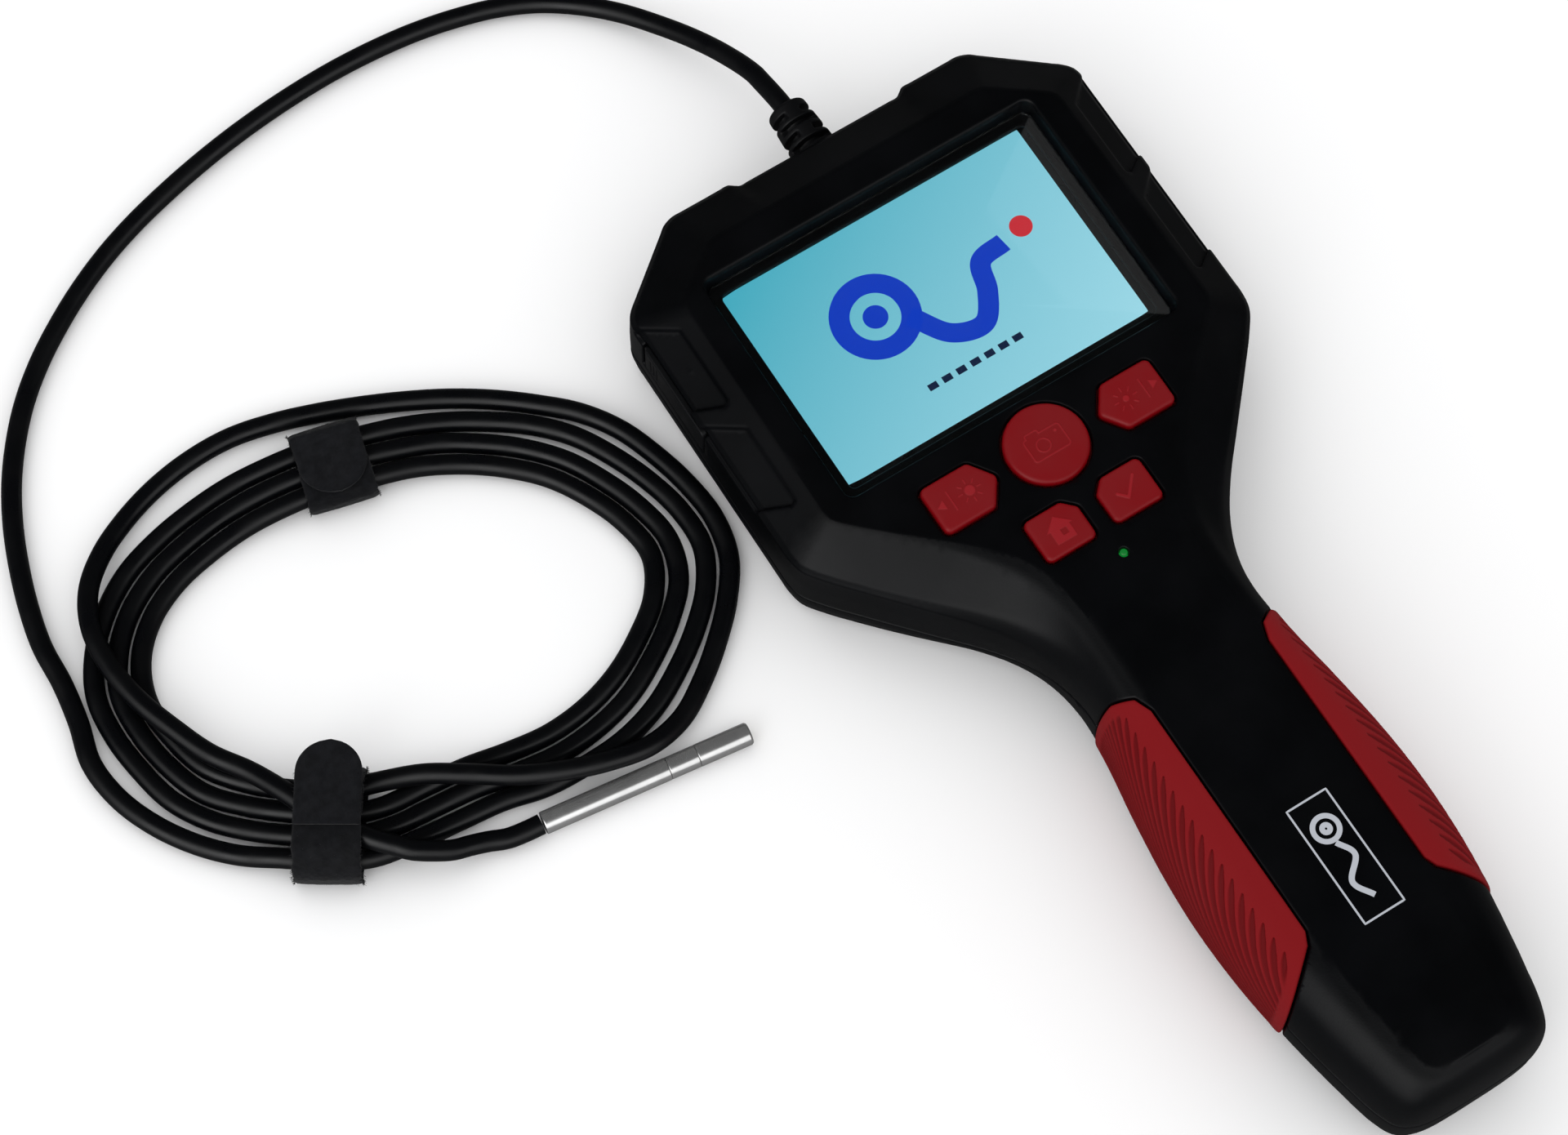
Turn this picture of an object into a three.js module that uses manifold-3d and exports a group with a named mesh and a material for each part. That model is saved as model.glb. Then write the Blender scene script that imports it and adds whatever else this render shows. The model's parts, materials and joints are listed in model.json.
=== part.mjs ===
// Handheld inspection camera: screen unit with a pistol-grip handle, lying on its
// back, with its coiled camera cable and steel camera head beside it.
// Millimetres. X right, Y towards the top of the screen, Z out of the screen.
// The origin is on the resting plane, under the middle of the display.
import * as THREE from "three";
import { mergeVertices } from "three/addons/utils/BufferGeometryUtils.js";
import Module from "manifold-3d";

const wasm = await Module();
wasm.setup();

const GAP = 0.3;
const HEAD_WALL = 2.6;
const HANDLE_WALL = 3.8;
const PARTING_HEAD = 8.5;
const PARTING_HANDLE = 16.5;
const SKIN_TOP_Z = 27.9;

const SCREEN_W = 73.4;
const SCREEN_H = 49;
const WINDOW_W = 80.4;
const WINDOW_H = 56.4;
const WINDOW_TOP_Z = 26.9;
const WINDOW_T = 1.2;
const LEDGE_T = 1;
const PANEL_T = 3;

const BOARD_Z = 15;
const BOARD_T = 1.6;
const BOARD_TOP = BOARD_Z + BOARD_T;

const KEY_TOP_Z = 32.1;
const KEY_FLANGE_Z = 26.4;
const KEY_FLANGE_T = 1.2;
const KEY_TRAVEL = 0.8;
const SWITCH_H = 3.5;
const STEM_Z = 21.2;

const CABLE_R = 2.2;
const CABLE_EXIT_Z = 15;
const RELIEF_END_Y = 60.9;
// Room for the cable to swing at the end of its strain relief.
const BEND_GAP = 1.2;
const PROBE_R = 2.45;

const COIL_CENTRE = [-129.5, 4];
// Mean radius of the coil every 24 degrees, counter-clockwise from +X.
const COIL_RADII = [61, 52.3, 44.3, 41, 43, 49.6, 58.5, 60.3, 52.2, 45.2, 40, 36.7, 41.7, 52, 61.5];
const TIE_1_ANGLE = 81;
const TIE_2_ANGLE = 220;
const TIE_T = 1;

const PORT_Y = [2.5, 26.5];
const PORT_Z = [12.5, 21.2];
const COVER_T = 1.5;
const SIDE_X = -56.9;

const HEAD_SCREWS = [[-46.5, 32], [46.5, 32], [-48, -29], [48, -29]];
const HANDLE_SCREWS = [[0, -86], [0, -182]];

const group = new THREE.Group();

function add(name, geometry, colour, roughness, metalness = 0) {
  const material = new THREE.MeshStandardMaterial({ color: colour, roughness, metalness });
  const mesh = new THREE.Mesh(geometry, material);
  mesh.name = name;
  group.add(mesh);
}

const blackPlastic = (name, geometry) => add(name, geometry, 0x101216, 0.5);
const redPlastic = (name, geometry) => add(name, geometry, 0x96101a, 0.4);
const redRubber = (name, geometry) => add(name, geometry, 0x98222c, 0.7);
const blackRubber = (name, geometry) => add(name, geometry, 0x0c0d10, 0.6);
const steel = (name, geometry) => add(name, geometry, 0xb8babd, 0.3, 1);
const fabric = (name, geometry) => add(name, geometry, 0x0d0d0f, 0.95);

// --- solids and booleans -------------------------------------------------------

function solid(geometry) {
  const bare = geometry.clone();
  bare.deleteAttribute("normal");
  bare.deleteAttribute("uv");
  const merged = mergeVertices(bare, 1e-4);
  return new wasm.Manifold(
    new wasm.Mesh({
      numProp: 3,
      vertProperties: new Float32Array(merged.attributes.position.array),
      triVerts: new Uint32Array(merged.index.array),
    }),
  );
}

function geometryOf(body) {
  const mesh = body.getMesh();
  const geometry = new THREE.BufferGeometry();
  const points = new Float32Array(mesh.numVert * 3);
  for (let i = 0; i < mesh.numVert; i += 1) {
    const at = i * mesh.numProp;
    points.set(mesh.vertProperties.subarray(at, at + 3), i * 3);
  }
  geometry.setAttribute("position", new THREE.BufferAttribute(points, 3));
  geometry.setIndex(new THREE.BufferAttribute(new Uint32Array(mesh.triVerts), 1));
  geometry.computeVertexNormals();
  return geometry;
}

const union = (bodies) => bodies.reduce((all, body) => all.add(body));
const cut = (body, tools) => tools.reduce((left, tool) => left.subtract(tool), body);

function shapeOf(points) {
  return new THREE.Shape(points.map(([x, y]) => new THREE.Vector2(x, y)));
}

// Upright prism of a plan outline between two heights.
function prismGeometry(shape, z0, z1, segments = 3) {
  const geometry = new THREE.ExtrudeGeometry(shape, {
    depth: z1 - z0,
    bevelEnabled: false,
    curveSegments: segments,
  });
  return geometry.translate(0, 0, z0);
}

const prism = (points, z0, z1) => solid(prismGeometry(shapeOf(points), z0, z1));

function roundedRect(w, h, r, x = 0, y = 0) {
  const shape = new THREE.Shape();
  const right = x + w / 2;
  const left = x - w / 2;
  const top = y + h / 2;
  const bottom = y - h / 2;
  shape.moveTo(left + r, bottom);
  shape.lineTo(right - r, bottom);
  shape.absarc(right - r, bottom + r, r, -Math.PI / 2, 0, false);
  shape.lineTo(right, top - r);
  shape.absarc(right - r, top - r, r, 0, Math.PI / 2, false);
  shape.lineTo(left + r, top);
  shape.absarc(left + r, top - r, r, Math.PI / 2, Math.PI, false);
  shape.lineTo(left, bottom + r);
  shape.absarc(left + r, bottom + r, r, Math.PI, 1.5 * Math.PI, false);
  return shape;
}

const slab = (w, h, r, x, y, z0, z1) => solid(prismGeometry(roundedRect(w, h, r, x, y), z0, z1));

function boxGeometry(x0, x1, y0, y1, z0, z1) {
  const geometry = new THREE.BoxGeometry(x1 - x0, y1 - y0, z1 - z0);
  return geometry.translate((x0 + x1) / 2, (y0 + y1) / 2, (z0 + z1) / 2);
}

const box = (...limits) => solid(boxGeometry(...limits));

function postGeometry(x, y, r, z0, z1, sides = 12) {
  const geometry = new THREE.CylinderGeometry(r, r, z1 - z0, sides);
  geometry.rotateX(Math.PI / 2);
  return geometry.translate(x, y, (z0 + z1) / 2);
}

const post = (...sizes) => solid(postGeometry(...sizes));

// --- housing skin --------------------------------------------------------------

// Right half of the plan, from the top centre round to the bottom centre: the
// widest outline (rim) and the edge of the front face (crest), point for point.
const RIM = [
  [0, 47.4], [20, 47.4], [22, 48.9], [36, 48.9], [38.6, 48], [54.6, 35],
  [56.2, 33], [56.8, 30.4], [56.8, 10], [56.8, -12], [56.8, -30], [56, -34.2],
  [53, -38.6], [47, -45.6], [38.4, -55.4], [31, -64], [26, -71.4], [22.8, -79],
  [21.4, -88], [22.2, -98], [24.6, -112], [26.4, -126], [27, -138], [26.4, -152],
  [24.6, -166], [22, -180], [19.8, -189], [17.6, -193.2], [13.4, -195.4], [0, -196.2],
];
const CREST = [
  [0, 35.7], [19, 35.7], [21, 35.7], [31, 35.7], [34, 35.2], [44.6, 27.4],
  [45.8, 26], [46.3, 23.6], [46.4, 8], [46.6, -12], [46.8, -28], [46.2, -30.6],
  [42.6, -34.6], [37, -39.8], [29.6, -46.4], [23, -52.8], [18.4, -58.2], [15.6, -64.4],
  [14.2, -74], [13.9, -92], [14, -110], [14.1, -124], [14.2, -138], [14, -152],
  [13, -166], [11.6, -178], [10.4, -186], [9.2, -188.6], [7, -190], [0, -190.4],
];
// A plainer outline for the hollow inside.
const CORE_STEPS = [0, 3, 6, 8, 10, 13, 15, 17, 18, 21, 23, 25, 27, 29];

// Height stations of the section: [share of the way from rim to crest, z].
const HEAD_SECTION = [
  [0.24, 0], [0.06, 2.2], [0, 6], [0, 15], [0.02, 21.9], [0.11, 23.4], [0.93, 30.1], [1, 30.5],
];
const HANDLE_SECTION = [
  [0.8, 0], [0.34, 2], [0.09, 6.6], [0, 13.5], [0.05, 20.5], [0.24, 26], [0.6, 29.7], [1, 31.4],
];

function handleShare(y) {
  return THREE.MathUtils.smoothstep(-y, 44, 96);
}

function sectionAt(level, y) {
  const t = handleShare(y);
  const [shareA, zA] = HEAD_SECTION[level];
  const [shareB, zB] = HANDLE_SECTION[level];
  return [THREE.MathUtils.lerp(shareA, shareB, t), THREE.MathUtils.lerp(zA, zB, t)];
}

function mirrored(half) {
  const left = half.slice(1, -1).reverse().map(([x, y]) => [-x, y]);
  return [...half, ...left];
}

// The skin, moved inwards by depth(y) along its own normals (outwards if negative).
function skin(depth, steps = RIM.map((_, i) => i)) {
  const rim = mirrored(steps.map((i) => RIM[i]));
  const crest = mirrored(steps.map((i) => CREST[i]));
  const count = rim.length;
  const levels = HEAD_SECTION.length;
  const points = [];
  for (let level = 0; level < levels; level += 1) {
    for (let i = 0; i < count; i += 1) {
      const [share, z] = sectionAt(level, rim[i][1]);
      points.push(
        THREE.MathUtils.lerp(rim[i][0], crest[i][0], share),
        THREE.MathUtils.lerp(rim[i][1], crest[i][1], share),
        z,
      );
    }
  }
  const faces = [];
  for (let level = 0; level < levels - 1; level += 1) {
    for (let i = 0; i < count; i += 1) {
      const a = level * count + i;
      const b = level * count + ((i + 1) % count);
      faces.push(a, a + count, b, b, a + count, b + count);
    }
  }
  for (const [level, flip] of [[0, false], [levels - 1, true]]) {
    const from = level * count;
    const loop = [];
    for (let i = 0; i < count; i += 1) {
      loop.push(new THREE.Vector2(points[(from + i) * 3], points[(from + i) * 3 + 1]));
    }
    for (const [a, b, c] of THREE.ShapeUtils.triangulateShape(loop, [])) {
      faces.push(...(flip ? [from + a, from + b, from + c] : [from + a, from + c, from + b]));
    }
  }
  const geometry = new THREE.BufferGeometry();
  geometry.setAttribute("position", new THREE.Float32BufferAttribute(points, 3));
  geometry.setIndex(faces);
  geometry.computeVertexNormals();
  const position = geometry.attributes.position;
  const normal = geometry.attributes.normal;
  for (let i = 0; i < position.count; i += 1) {
    const d = depth(position.getY(i));
    position.setXYZ(
      i,
      position.getX(i) - normal.getX(i) * d,
      position.getY(i) - normal.getY(i) * d,
      position.getZ(i) - normal.getZ(i) * d,
    );
  }
  return solid(geometry);
}

// Everything below, or above, the parting surface, which rises along the neck.
function partingHalf(above) {
  const line = [[70, PARTING_HEAD], [-56, PARTING_HEAD]];
  for (let i = 1; i < 6; i += 1) {
    const t = i / 6;
    const rise = THREE.MathUtils.smoothstep(t, 0, 1);
    line.push([-56 - 46 * t, THREE.MathUtils.lerp(PARTING_HEAD, PARTING_HANDLE, rise)]);
  }
  line.push([-102, PARTING_HANDLE], [-210, PARTING_HANDLE]);
  const shift = above ? GAP / 2 : -GAP / 2;
  const edge = above ? 50 : -10;
  const points = line.map(([y, z]) => [y, z + shift]);
  points.push([-210, edge], [70, edge]);
  const geometry = prismGeometry(shapeOf(points), -80, 80);
  const turn = new THREE.Matrix4().makeBasis(
    new THREE.Vector3(0, 1, 0),
    new THREE.Vector3(0, 0, 1),
    new THREE.Vector3(1, 0, 0),
  );
  return solid(geometry.applyMatrix4(turn));
}

// --- keys ------------------------------------------------------------------------

// Pointed like a house lying on its side; the point faces the round key.
function pentagon(x, y, side, grow) {
  const g = grow;
  return [
    [x + side * (-6.6 - g), y - 4.7 - g * 0.6],
    [x + side * (-6.6 - g), y + 4.7 + g * 0.6],
    [x + side * (-5.6 - g * 0.6), y + 5.7 + g],
    [x + side * (5.2 + g * 0.5), y + 5.7 + g],
    [x + side * (9 + g), y],
    [x + side * (5.2 + g * 0.5), y - 5.7 - g],
    [x + side * (-5.6 - g * 0.6), y - 5.7 - g],
  ];
}

// Square key with the corner next to the round key cut off.
function cornerKey(x, y, side, grow) {
  const w = 6 + grow;
  const h = 5.2 + grow;
  return [
    [x + side * (w - 0.9), y + h],
    [x + side * (2.6 - w), y + h],
    [x - side * w, y + h - 2.6],
    [x - side * w, y - h + 0.9],
    [x + side * (0.9 - w), y - h],
    [x + side * (w - 0.9), y - h],
    [x + side * w, y - h + 0.9],
    [x + side * w, y + h - 0.9],
  ];
}

function circle(x, y, r, sides) {
  const points = [];
  for (let i = 0; i < sides; i += 1) {
    const angle = ((i + 0.5) / sides) * 2 * Math.PI;
    points.push([x + r * Math.cos(angle), y + r * Math.sin(angle)]);
  }
  return points;
}

const KEYS = [
  { name: "capture_key", x: 0, y: -40, outline: (g) => circle(0, -40, 9.1 + g, 28) },
  { name: "left_key", x: -21.6, y: -40.6, outline: (g) => pentagon(-21.6, -40.6, 1, g) },
  { name: "right_key", x: 21.6, y: -40.6, outline: (g) => pentagon(21.6, -40.6, -1, g) },
  { name: "home_key", x: -8.2, y: -57.4, outline: (g) => cornerKey(-8.2, -57.4, -1, g) },
  { name: "confirm_key", x: 8.2, y: -57.4, outline: (g) => cornerKey(8.2, -57.4, 1, g) },
];

function makeKeys() {
  for (const { name, x, y, outline } of KEYS) {
    const key = union([
      prism(outline(0), KEY_FLANGE_Z, KEY_TOP_Z),
      prism(outline(1), KEY_FLANGE_Z, KEY_FLANGE_Z + KEY_FLANGE_T),
      post(x, y, 2.4, STEM_Z, KEY_FLANGE_Z + 0.1),
    ]);
    redPlastic(name, geometryOf(key));
    const well = post(x, y, 1.9, BOARD_TOP + GAP + 1, BOARD_TOP + 5);
    const base = box(
      x - 3, x + 3, y - 3, y + 3, BOARD_TOP + GAP, BOARD_TOP + GAP + SWITCH_H,
    ).subtract(well);
    add(`${name}_switch`, geometryOf(base), 0x1b1b1d, 0.5);
    const plunger = postGeometry(x, y, 1.6, BOARD_TOP + 2.4, STEM_Z - 0.2);
    add(`${name}_plunger`, plunger, 0xd8d8d2, 0.4);
  }
}

// --- shells ----------------------------------------------------------------------

const bodySkin = skin(() => 0);
const hollow = skin((y) => THREE.MathUtils.lerp(HEAD_WALL, HANDLE_WALL, handleShare(y)), CORE_STEPS);

// Plan of one side grip; margin widens it for the pocket it sits in.
function gripPlan(side, margin) {
  const m = margin;
  return [
    [-14.2 + m, -99.5], [-14.2 + m, -153.4], [-15.4 + m, -156 - m], [-27, -166.6 - m * 1.3],
    [-40, -178.4 - m * 1.3], [-40, -91.6 + m], [-19.4, -93.2 + m], [-15.6 + m * 0.7, -95.6 + m * 0.7],
  ].map(([x, y]) => [-side * x, y]);
}

function makeGrips() {
  const outside = skin(() => -0.5);
  const inside = skin(() => 1.5);
  for (const [name, side] of [["left_grip", -1], ["right_grip", 1]]) {
    const region = prism(gripPlan(side, 0), 4.5, 40);
    redRubber(name, geometryOf(outside.intersect(region).subtract(inside)));
  }
}

function gripPockets() {
  const floor = skin(() => 1.5 + GAP);
  return [-1, 1].map((side) => prism(gripPlan(side, GAP), 4.5 - GAP, 40).subtract(floor));
}

// Shallow slanted finger recesses on the bevel, two each side.
function bevelRecesses() {
  const floor = skin(() => 0.9);
  const recesses = [];
  for (const side of [-1, 1]) {
    for (const y of [0, -26.2]) {
      const plan = [[49.6, 22.8 + y], [49.6, 2.9 + y], [62, 12.4 + y], [62, 36 + y]];
      const region = prism(plan.map(([x, v]) => [side * x, v]), 20.8, 40);
      recesses.push(region.subtract(floor));
    }
  }
  return recesses;
}

const ledgeZ = WINDOW_TOP_Z - WINDOW_T - GAP;

function makeFrontShell() {
  const withinWall = skin(() => HEAD_WALL / 2);
  const bosses = [...HEAD_SCREWS, ...HANDLE_SCREWS].map(([x, y]) => {
    const foot = y > -60 ? PARTING_HEAD + GAP : PARTING_HANDLE + GAP;
    return post(x, y, 3.5, foot, 35).intersect(withinWall);
  });
  const windowFrame = slab(88, 59, 2, 0, 0, ledgeZ - LEDGE_T, 29);
  const whole = union([bodySkin.subtract(hollow), windowFrame, ...bosses]);
  const shell = cut(whole.intersect(partingHalf(true)), [
    slab(WINDOW_W + 2 * GAP, WINDOW_H + 2 * GAP, 2.4, 0, 0, ledgeZ, 40),
    slab(75.6, 51.2, 1.2, 0, 0, 10, 40),
    ...KEYS.map(({ outline }) => prism(outline(GAP + 0.1), 20, 40)),
    ...[...HEAD_SCREWS, ...HANDLE_SCREWS].map(([x, y]) => post(x, y, 1.6, 0, 24)),
    post(0, -68.4, 1.1, 20, 40),
    ...gripPockets(),
    ...bevelRecesses(),
    ...portOpenings(),
    reliefHole(),
  ]);
  blackPlastic("front_shell", geometryOf(shell));
}

function reliefHole() {
  const geometry = new THREE.CylinderGeometry(5.3, 5.3, 12, 20);
  return solid(geometry.translate(0, 48, CABLE_EXIT_Z));
}

function portOpenings() {
  const [y0, y1] = PORT_Y;
  const [z0, z1] = PORT_Z;
  return [
    box(-60, SIDE_X + COVER_T + GAP, y0 - GAP, y1 + GAP, z0 - GAP, z1 + GAP),
    box(-60, -50, 3.6, 12.4, 16.6, 20.6),
    box(-60, -50, 12.9, 25.6, 16.6, 18.9),
  ];
}

function makeRearShell() {
  const bosses = HEAD_SCREWS.map(([x, y]) => post(x, y, 4, 0.5, PARTING_HEAD - GAP / 2));
  const handleBosses = HANDLE_SCREWS.map(([x, y]) => post(x, y, 4, 0.5, 12.5));
  const boardPosts = [[-36, 31], [36, 31], [-38, -26], [38, -26]].map(([x, y]) =>
    post(x, y, 2.5, 0.5, BOARD_Z - GAP),
  );
  const saddles = [-108, -154].map((y) => box(-12, 12, y - 1.5, y + 1.5, 1, 12));
  const cellSpace = new THREE.CylinderGeometry(9.4, 9.4, 80, 20);
  cellSpace.translate(0, -131, 14.5);
  const ribs = [
    union(saddles).subtract(solid(cellSpace)),
    box(-40, 40, 12, 13.4, 1, 6),
    box(-40, 40, -18, -16.6, 1, 6),
  ];
  const shell = bodySkin.subtract(hollow).intersect(partingHalf(false));
  const filled = cut(union([shell, ...bosses, ...handleBosses, ...boardPosts, ...ribs]), [
    ...[...HEAD_SCREWS, ...HANDLE_SCREWS].map(([x, y]) => post(x, y, 1.6, -1, 40)),
    ...[...HEAD_SCREWS, ...HANDLE_SCREWS].map(([x, y]) => post(x, y, 3.1, -1, 2.6, 16)),
    ...gripPockets(),
  ]);
  blackPlastic("rear_shell", geometryOf(filled));
}

function makeScrews() {
  [...HEAD_SCREWS, ...HANDLE_SCREWS].forEach(([x, y], i) => {
    const screw = union([post(x, y, 2.8, 0.5, 2.3, 16), post(x, y, 1.3, 2.2, 19, 10)]);
    add(`rear_screw_${i + 1}`, geometryOf(screw), 0x55585c, 0.35, 1);
  });
}

// --- display, board, battery -------------------------------------------------------

function makeDisplay() {
  const top = WINDOW_TOP_Z;
  const window = prismGeometry(roundedRect(WINDOW_W, WINDOW_H, 2.2), top - WINDOW_T, top);
  add("display_window", window, 0x0a0f12, 0.08);
  const panelTop = ledgeZ - LEDGE_T - GAP;
  const panel = boxGeometry(
    -SCREEN_W / 2 - 4.5, SCREEN_W / 2 + 4.5, -SCREEN_H / 2 - 3, SCREEN_H / 2 + 3,
    panelTop - PANEL_T, panelTop,
  );
  add("display_panel", panel, 0x8fd6e0, 0.3);
  const frameTop = panelTop - PANEL_T - GAP;
  const frame = slab(82, 54, 1, 0, 0, BOARD_TOP + GAP, frameTop)
    .subtract(slab(76, 48, 1, 0, 0, 10, 30));
  add("display_frame", geometryOf(frame), 0xc8c8c4, 0.6);
}

function makeBoard() {
  const half = [[0, 38], [33, 38], [33, 35], [41, 27], [43.6, 27], [43.6, -24], [40, -30], [30, -48], [15, -70.5]];
  const left = half.slice(1).reverse().map(([x, y]) => [-x, y]);
  add("main_board", prismGeometry(shapeOf([...half, ...left]), BOARD_Z, BOARD_TOP), 0x14532d, 0.6);
  const z = BOARD_TOP + GAP;
  steel("usb_connector", boxGeometry(-54.6, -44, 4, 12, z, z + 3.4));
  const socket = box(-53.4, -42, 13.4, 25, z, z + 1.9)
    .subtract(box(-60, -43, 13.7, 24.7, z + 0.3, z + 1.6));
  steel("card_socket", geometryOf(socket));
  const card = prismGeometry(roundedRect(10.9, 10.4, 0.8, -49.8, 19.2), z + 0.5, z + 1.4);
  add("memory_card", card, 0x121214, 0.5);
  add("status_led", boxGeometry(-1.4, 1.4, -69.6, -67.4, z, z + 1), 0xe8f0e0, 0.3);
  const pipe = union([post(0, -68.4, 0.8, z + 1.3, 31.6, 10), post(0, -68.4, 1.8, z + 5, 27.4, 10)]);
  add("led_light_pipe", geometryOf(pipe), 0x7be08a, 0.2);
}

function makeBattery() {
  const cell = new THREE.CylinderGeometry(9.1, 9.1, 65, 20).translate(0, -131, 14.5);
  add("battery_cell", cell, 0x2b5fa8, 0.4);
  steel("battery_contact_rear", boxGeometry(-7, 7, -165, -164.2, 5, 22));
  steel("battery_contact_front", boxGeometry(-7, 7, -97.9, -97.1, 5, 22));
}

// --- cover flap over the ports -------------------------------------------------------

function makePortCover() {
  const [y0, y1] = PORT_Y;
  const [z0, z1] = PORT_Z;
  const plate = box(SIDE_X, SIDE_X + COVER_T, y0, y1, z0, z1);
  const nailEdge = box(SIDE_X - 1, SIDE_X + 0.6, y1 - 1.2, y1 + 1, z0 - 1, z1 + 1);
  blackRubber("port_cover", geometryOf(plate.subtract(nailEdge)));
}

// --- cable ----------------------------------------------------------------------------

function coilRadius(angle) {
  const count = COIL_RADII.length;
  const at = (((angle % 360) + 360) % 360) / (360 / count);
  const i = Math.floor(at);
  const t = at - i;
  const pick = (k) => COIL_RADII[(k + count) % count];
  const [a, b, c, d] = [pick(i - 1), pick(i), pick(i + 1), pick(i + 2)];
  const cubic = (2 * a - 5 * b + 4 * c - d) * t * t + (3 * b - a - 3 * c + d) * t * t * t;
  return 0.5 * (2 * b + (c - a) * t + cubic);
}

function coilPoint(angle, z = 0) {
  const turn = THREE.MathUtils.degToRad(angle);
  const r = coilRadius(angle);
  return new THREE.Vector3(
    COIL_CENTRE[0] + r * Math.cos(turn),
    COIL_CENTRE[1] + r * Math.sin(turn),
    z,
  );
}

// Outward normal of the coil's middle line, in plan.
function coilNormal(angle) {
  const ahead = coilPoint(angle + 2).sub(coilPoint(angle - 2)).normalize();
  return new THREE.Vector3(ahead.y, -ahead.x, 0);
}

function beside(angle, lateral, z) {
  return coilPoint(angle, z).addScaledVector(coilNormal(angle), lateral);
}

const LOW = CABLE_R;
const TIED = 3.6;

// The cable's run round the coil: [angle, distance outside the middle line, height].
// Three turns side by side, then a fourth that starts innermost, climbs over the
// others along the bottom, drops outside them on the right and leaves at the top.
const COIL_RUN = [
  [160, 9.6, LOW], [172, 10.2, LOW], [184, 10.4, LOW], [198, 9.2, LOW], [212, 7.4, TIED],
  [228, 7.4, TIED], [250, 4.9, LOW], [268, 4.9, LOW], [286, 4.9, LOW], [312, 2.95, LOW], [345, 2.95, LOW],
  [378, 2.95, LOW], [408, 4.9, LOW], [430, 4.9, TIED], [452, 4.9, TIED], [476, 4.9, LOW], [500, 4.6, LOW],
  [520, 4.4, LOW], [545, 4.4, LOW], [557, 3.6, LOW], [572, 2.5, TIED],
  [588, 2.5, TIED], [610, 0, LOW], [628, 0, LOW], [646, 0, LOW], [672, -2.95, LOW], [705, -2.95, LOW],
  [738, -2.95, LOW], [768, 0, LOW], [790, 0, TIED], [812, 0, TIED], [836, 0, LOW], [860, -0.3, LOW],
  [880, -0.5, LOW], [905, -0.5, LOW], [917, -1.4, LOW], [932, -2.4, TIED],
  [948, -2.4, TIED], [970, -4.9, LOW], [988, -4.9, LOW], [1006, -4.9, LOW], [1032, -7.9, LOW],
  [1065, -7.9, LOW], [1098, -7.9, LOW], [1128, -4.9, LOW], [1150, -4.9, TIED], [1172, -4.9, TIED],
  [1196, -4.9, LOW], [1220, -5.2, LOW], [1240, -5.4, LOW], [1265, -5.4, LOW], [1277, -6.3, LOW],
  [1292, -7.3, TIED],
  [1308, -7.6, TIED], [1318, -8.3, 5.1], [1328, -6.6, 6.8], [1338, -3.2, 7.2], [1348, 0, 7.1],
  [1360, 3, 7], [1374, 6.2, 7], [1386, 8.9, 5.2], [1398, 8.2, LOW], [1425, 7.9, LOW], [1452, 7.9, LOW],
  [1468, 8.6, LOW], [1486, 10.2, LOW], [1500, 11.4, LOW], [1515, 12.8, LOW], [1530, 14.2, LOW],
  [1544, 15.2, LOW], [1557, 14.6, LOW], [1569, 13, 2.6], [1578, 10.6, 4],
  [1586, 7.2, 6.4], [1594, 1.8, 7.1], [1602, -3, 7.1], [1612, -6.8, 7.1], [1625, -7.2, 7],
  [1637, -7.4, 7.4], [1648, -4.9, 8.4], [1660, 0.4, 8.5], [1671, 5, 8.4], [1679.5, 8.5, 7.5],
];

function freeRun() {
  return [
    [0, RELIEF_END_Y + BEND_GAP, CABLE_EXIT_Z], [-0.6, 71, 13.8], [-3.6, 83, 10], [-9.6, 96.5, 5.6],
    [-18.5, 109, 3], [-31, 118.6, LOW], [-49, 124.6, LOW], [-70, 127, LOW], [-93, 126, LOW],
    [-116, 122, LOW], [-138, 115.2, LOW], [-156, 105.6, LOW], [-171, 93.6, LOW], [-183, 77.6, LOW],
    [-190.6, 60, LOW], [-194.8, 42.6, LOW],
  ].map(([x, y, z]) => new THREE.Vector3(x, y, z));
}

// The loose end past tie_2: it drops outside the coil and runs out to the camera head.
const PROBE_START = [-126.4, -46.6, PROBE_R + 0.1];
const PROBE_HEADING = Math.atan2(-5.9, 46.2);

function tailRun() {
  const end = new THREE.Vector3(...PROBE_START);
  const back = new THREE.Vector3(-Math.cos(PROBE_HEADING), -Math.sin(PROBE_HEADING), 0);
  return [
    beside(240.5, 8.9, 7.2), beside(248, 10.8, 5), beside(256, 11.6, 3.2),
    end.clone().addScaledVector(back, 7), end,
  ];
}

// Smooth run that never sinks below the height of a cable lying on the ground.
class GroundedCurve extends THREE.CatmullRomCurve3 {
  getPoint(t, target) {
    const point = super.getPoint(t, target);
    point.z = Math.max(point.z, LOW);
    return point;
  }
}

function cableGeometry(points, stepLength) {
  const path = new GroundedCurve(points, false, "centripetal");
  path.arcLengthDivisions = 800;
  const section = new THREE.Shape();
  section.absarc(0, 0, CABLE_R, 0, 2 * Math.PI, false);
  return new THREE.ExtrudeGeometry(section, {
    steps: Math.round(path.getLength() / stepLength),
    curveSegments: 4,
    extrudePath: path,
  });
}

// Rod along a straight line in plan, from a start point, with a stepped profile of
// [distance along, radius] pairs that starts and ends on the axis.
function rodGeometry(start, heading, profile, sides) {
  const points = profile.map(([along, r]) => new THREE.Vector2(r, along));
  const geometry = new THREE.LatheGeometry(points, sides);
  geometry.rotateZ(heading - Math.PI / 2);
  return geometry.translate(...start);
}

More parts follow.
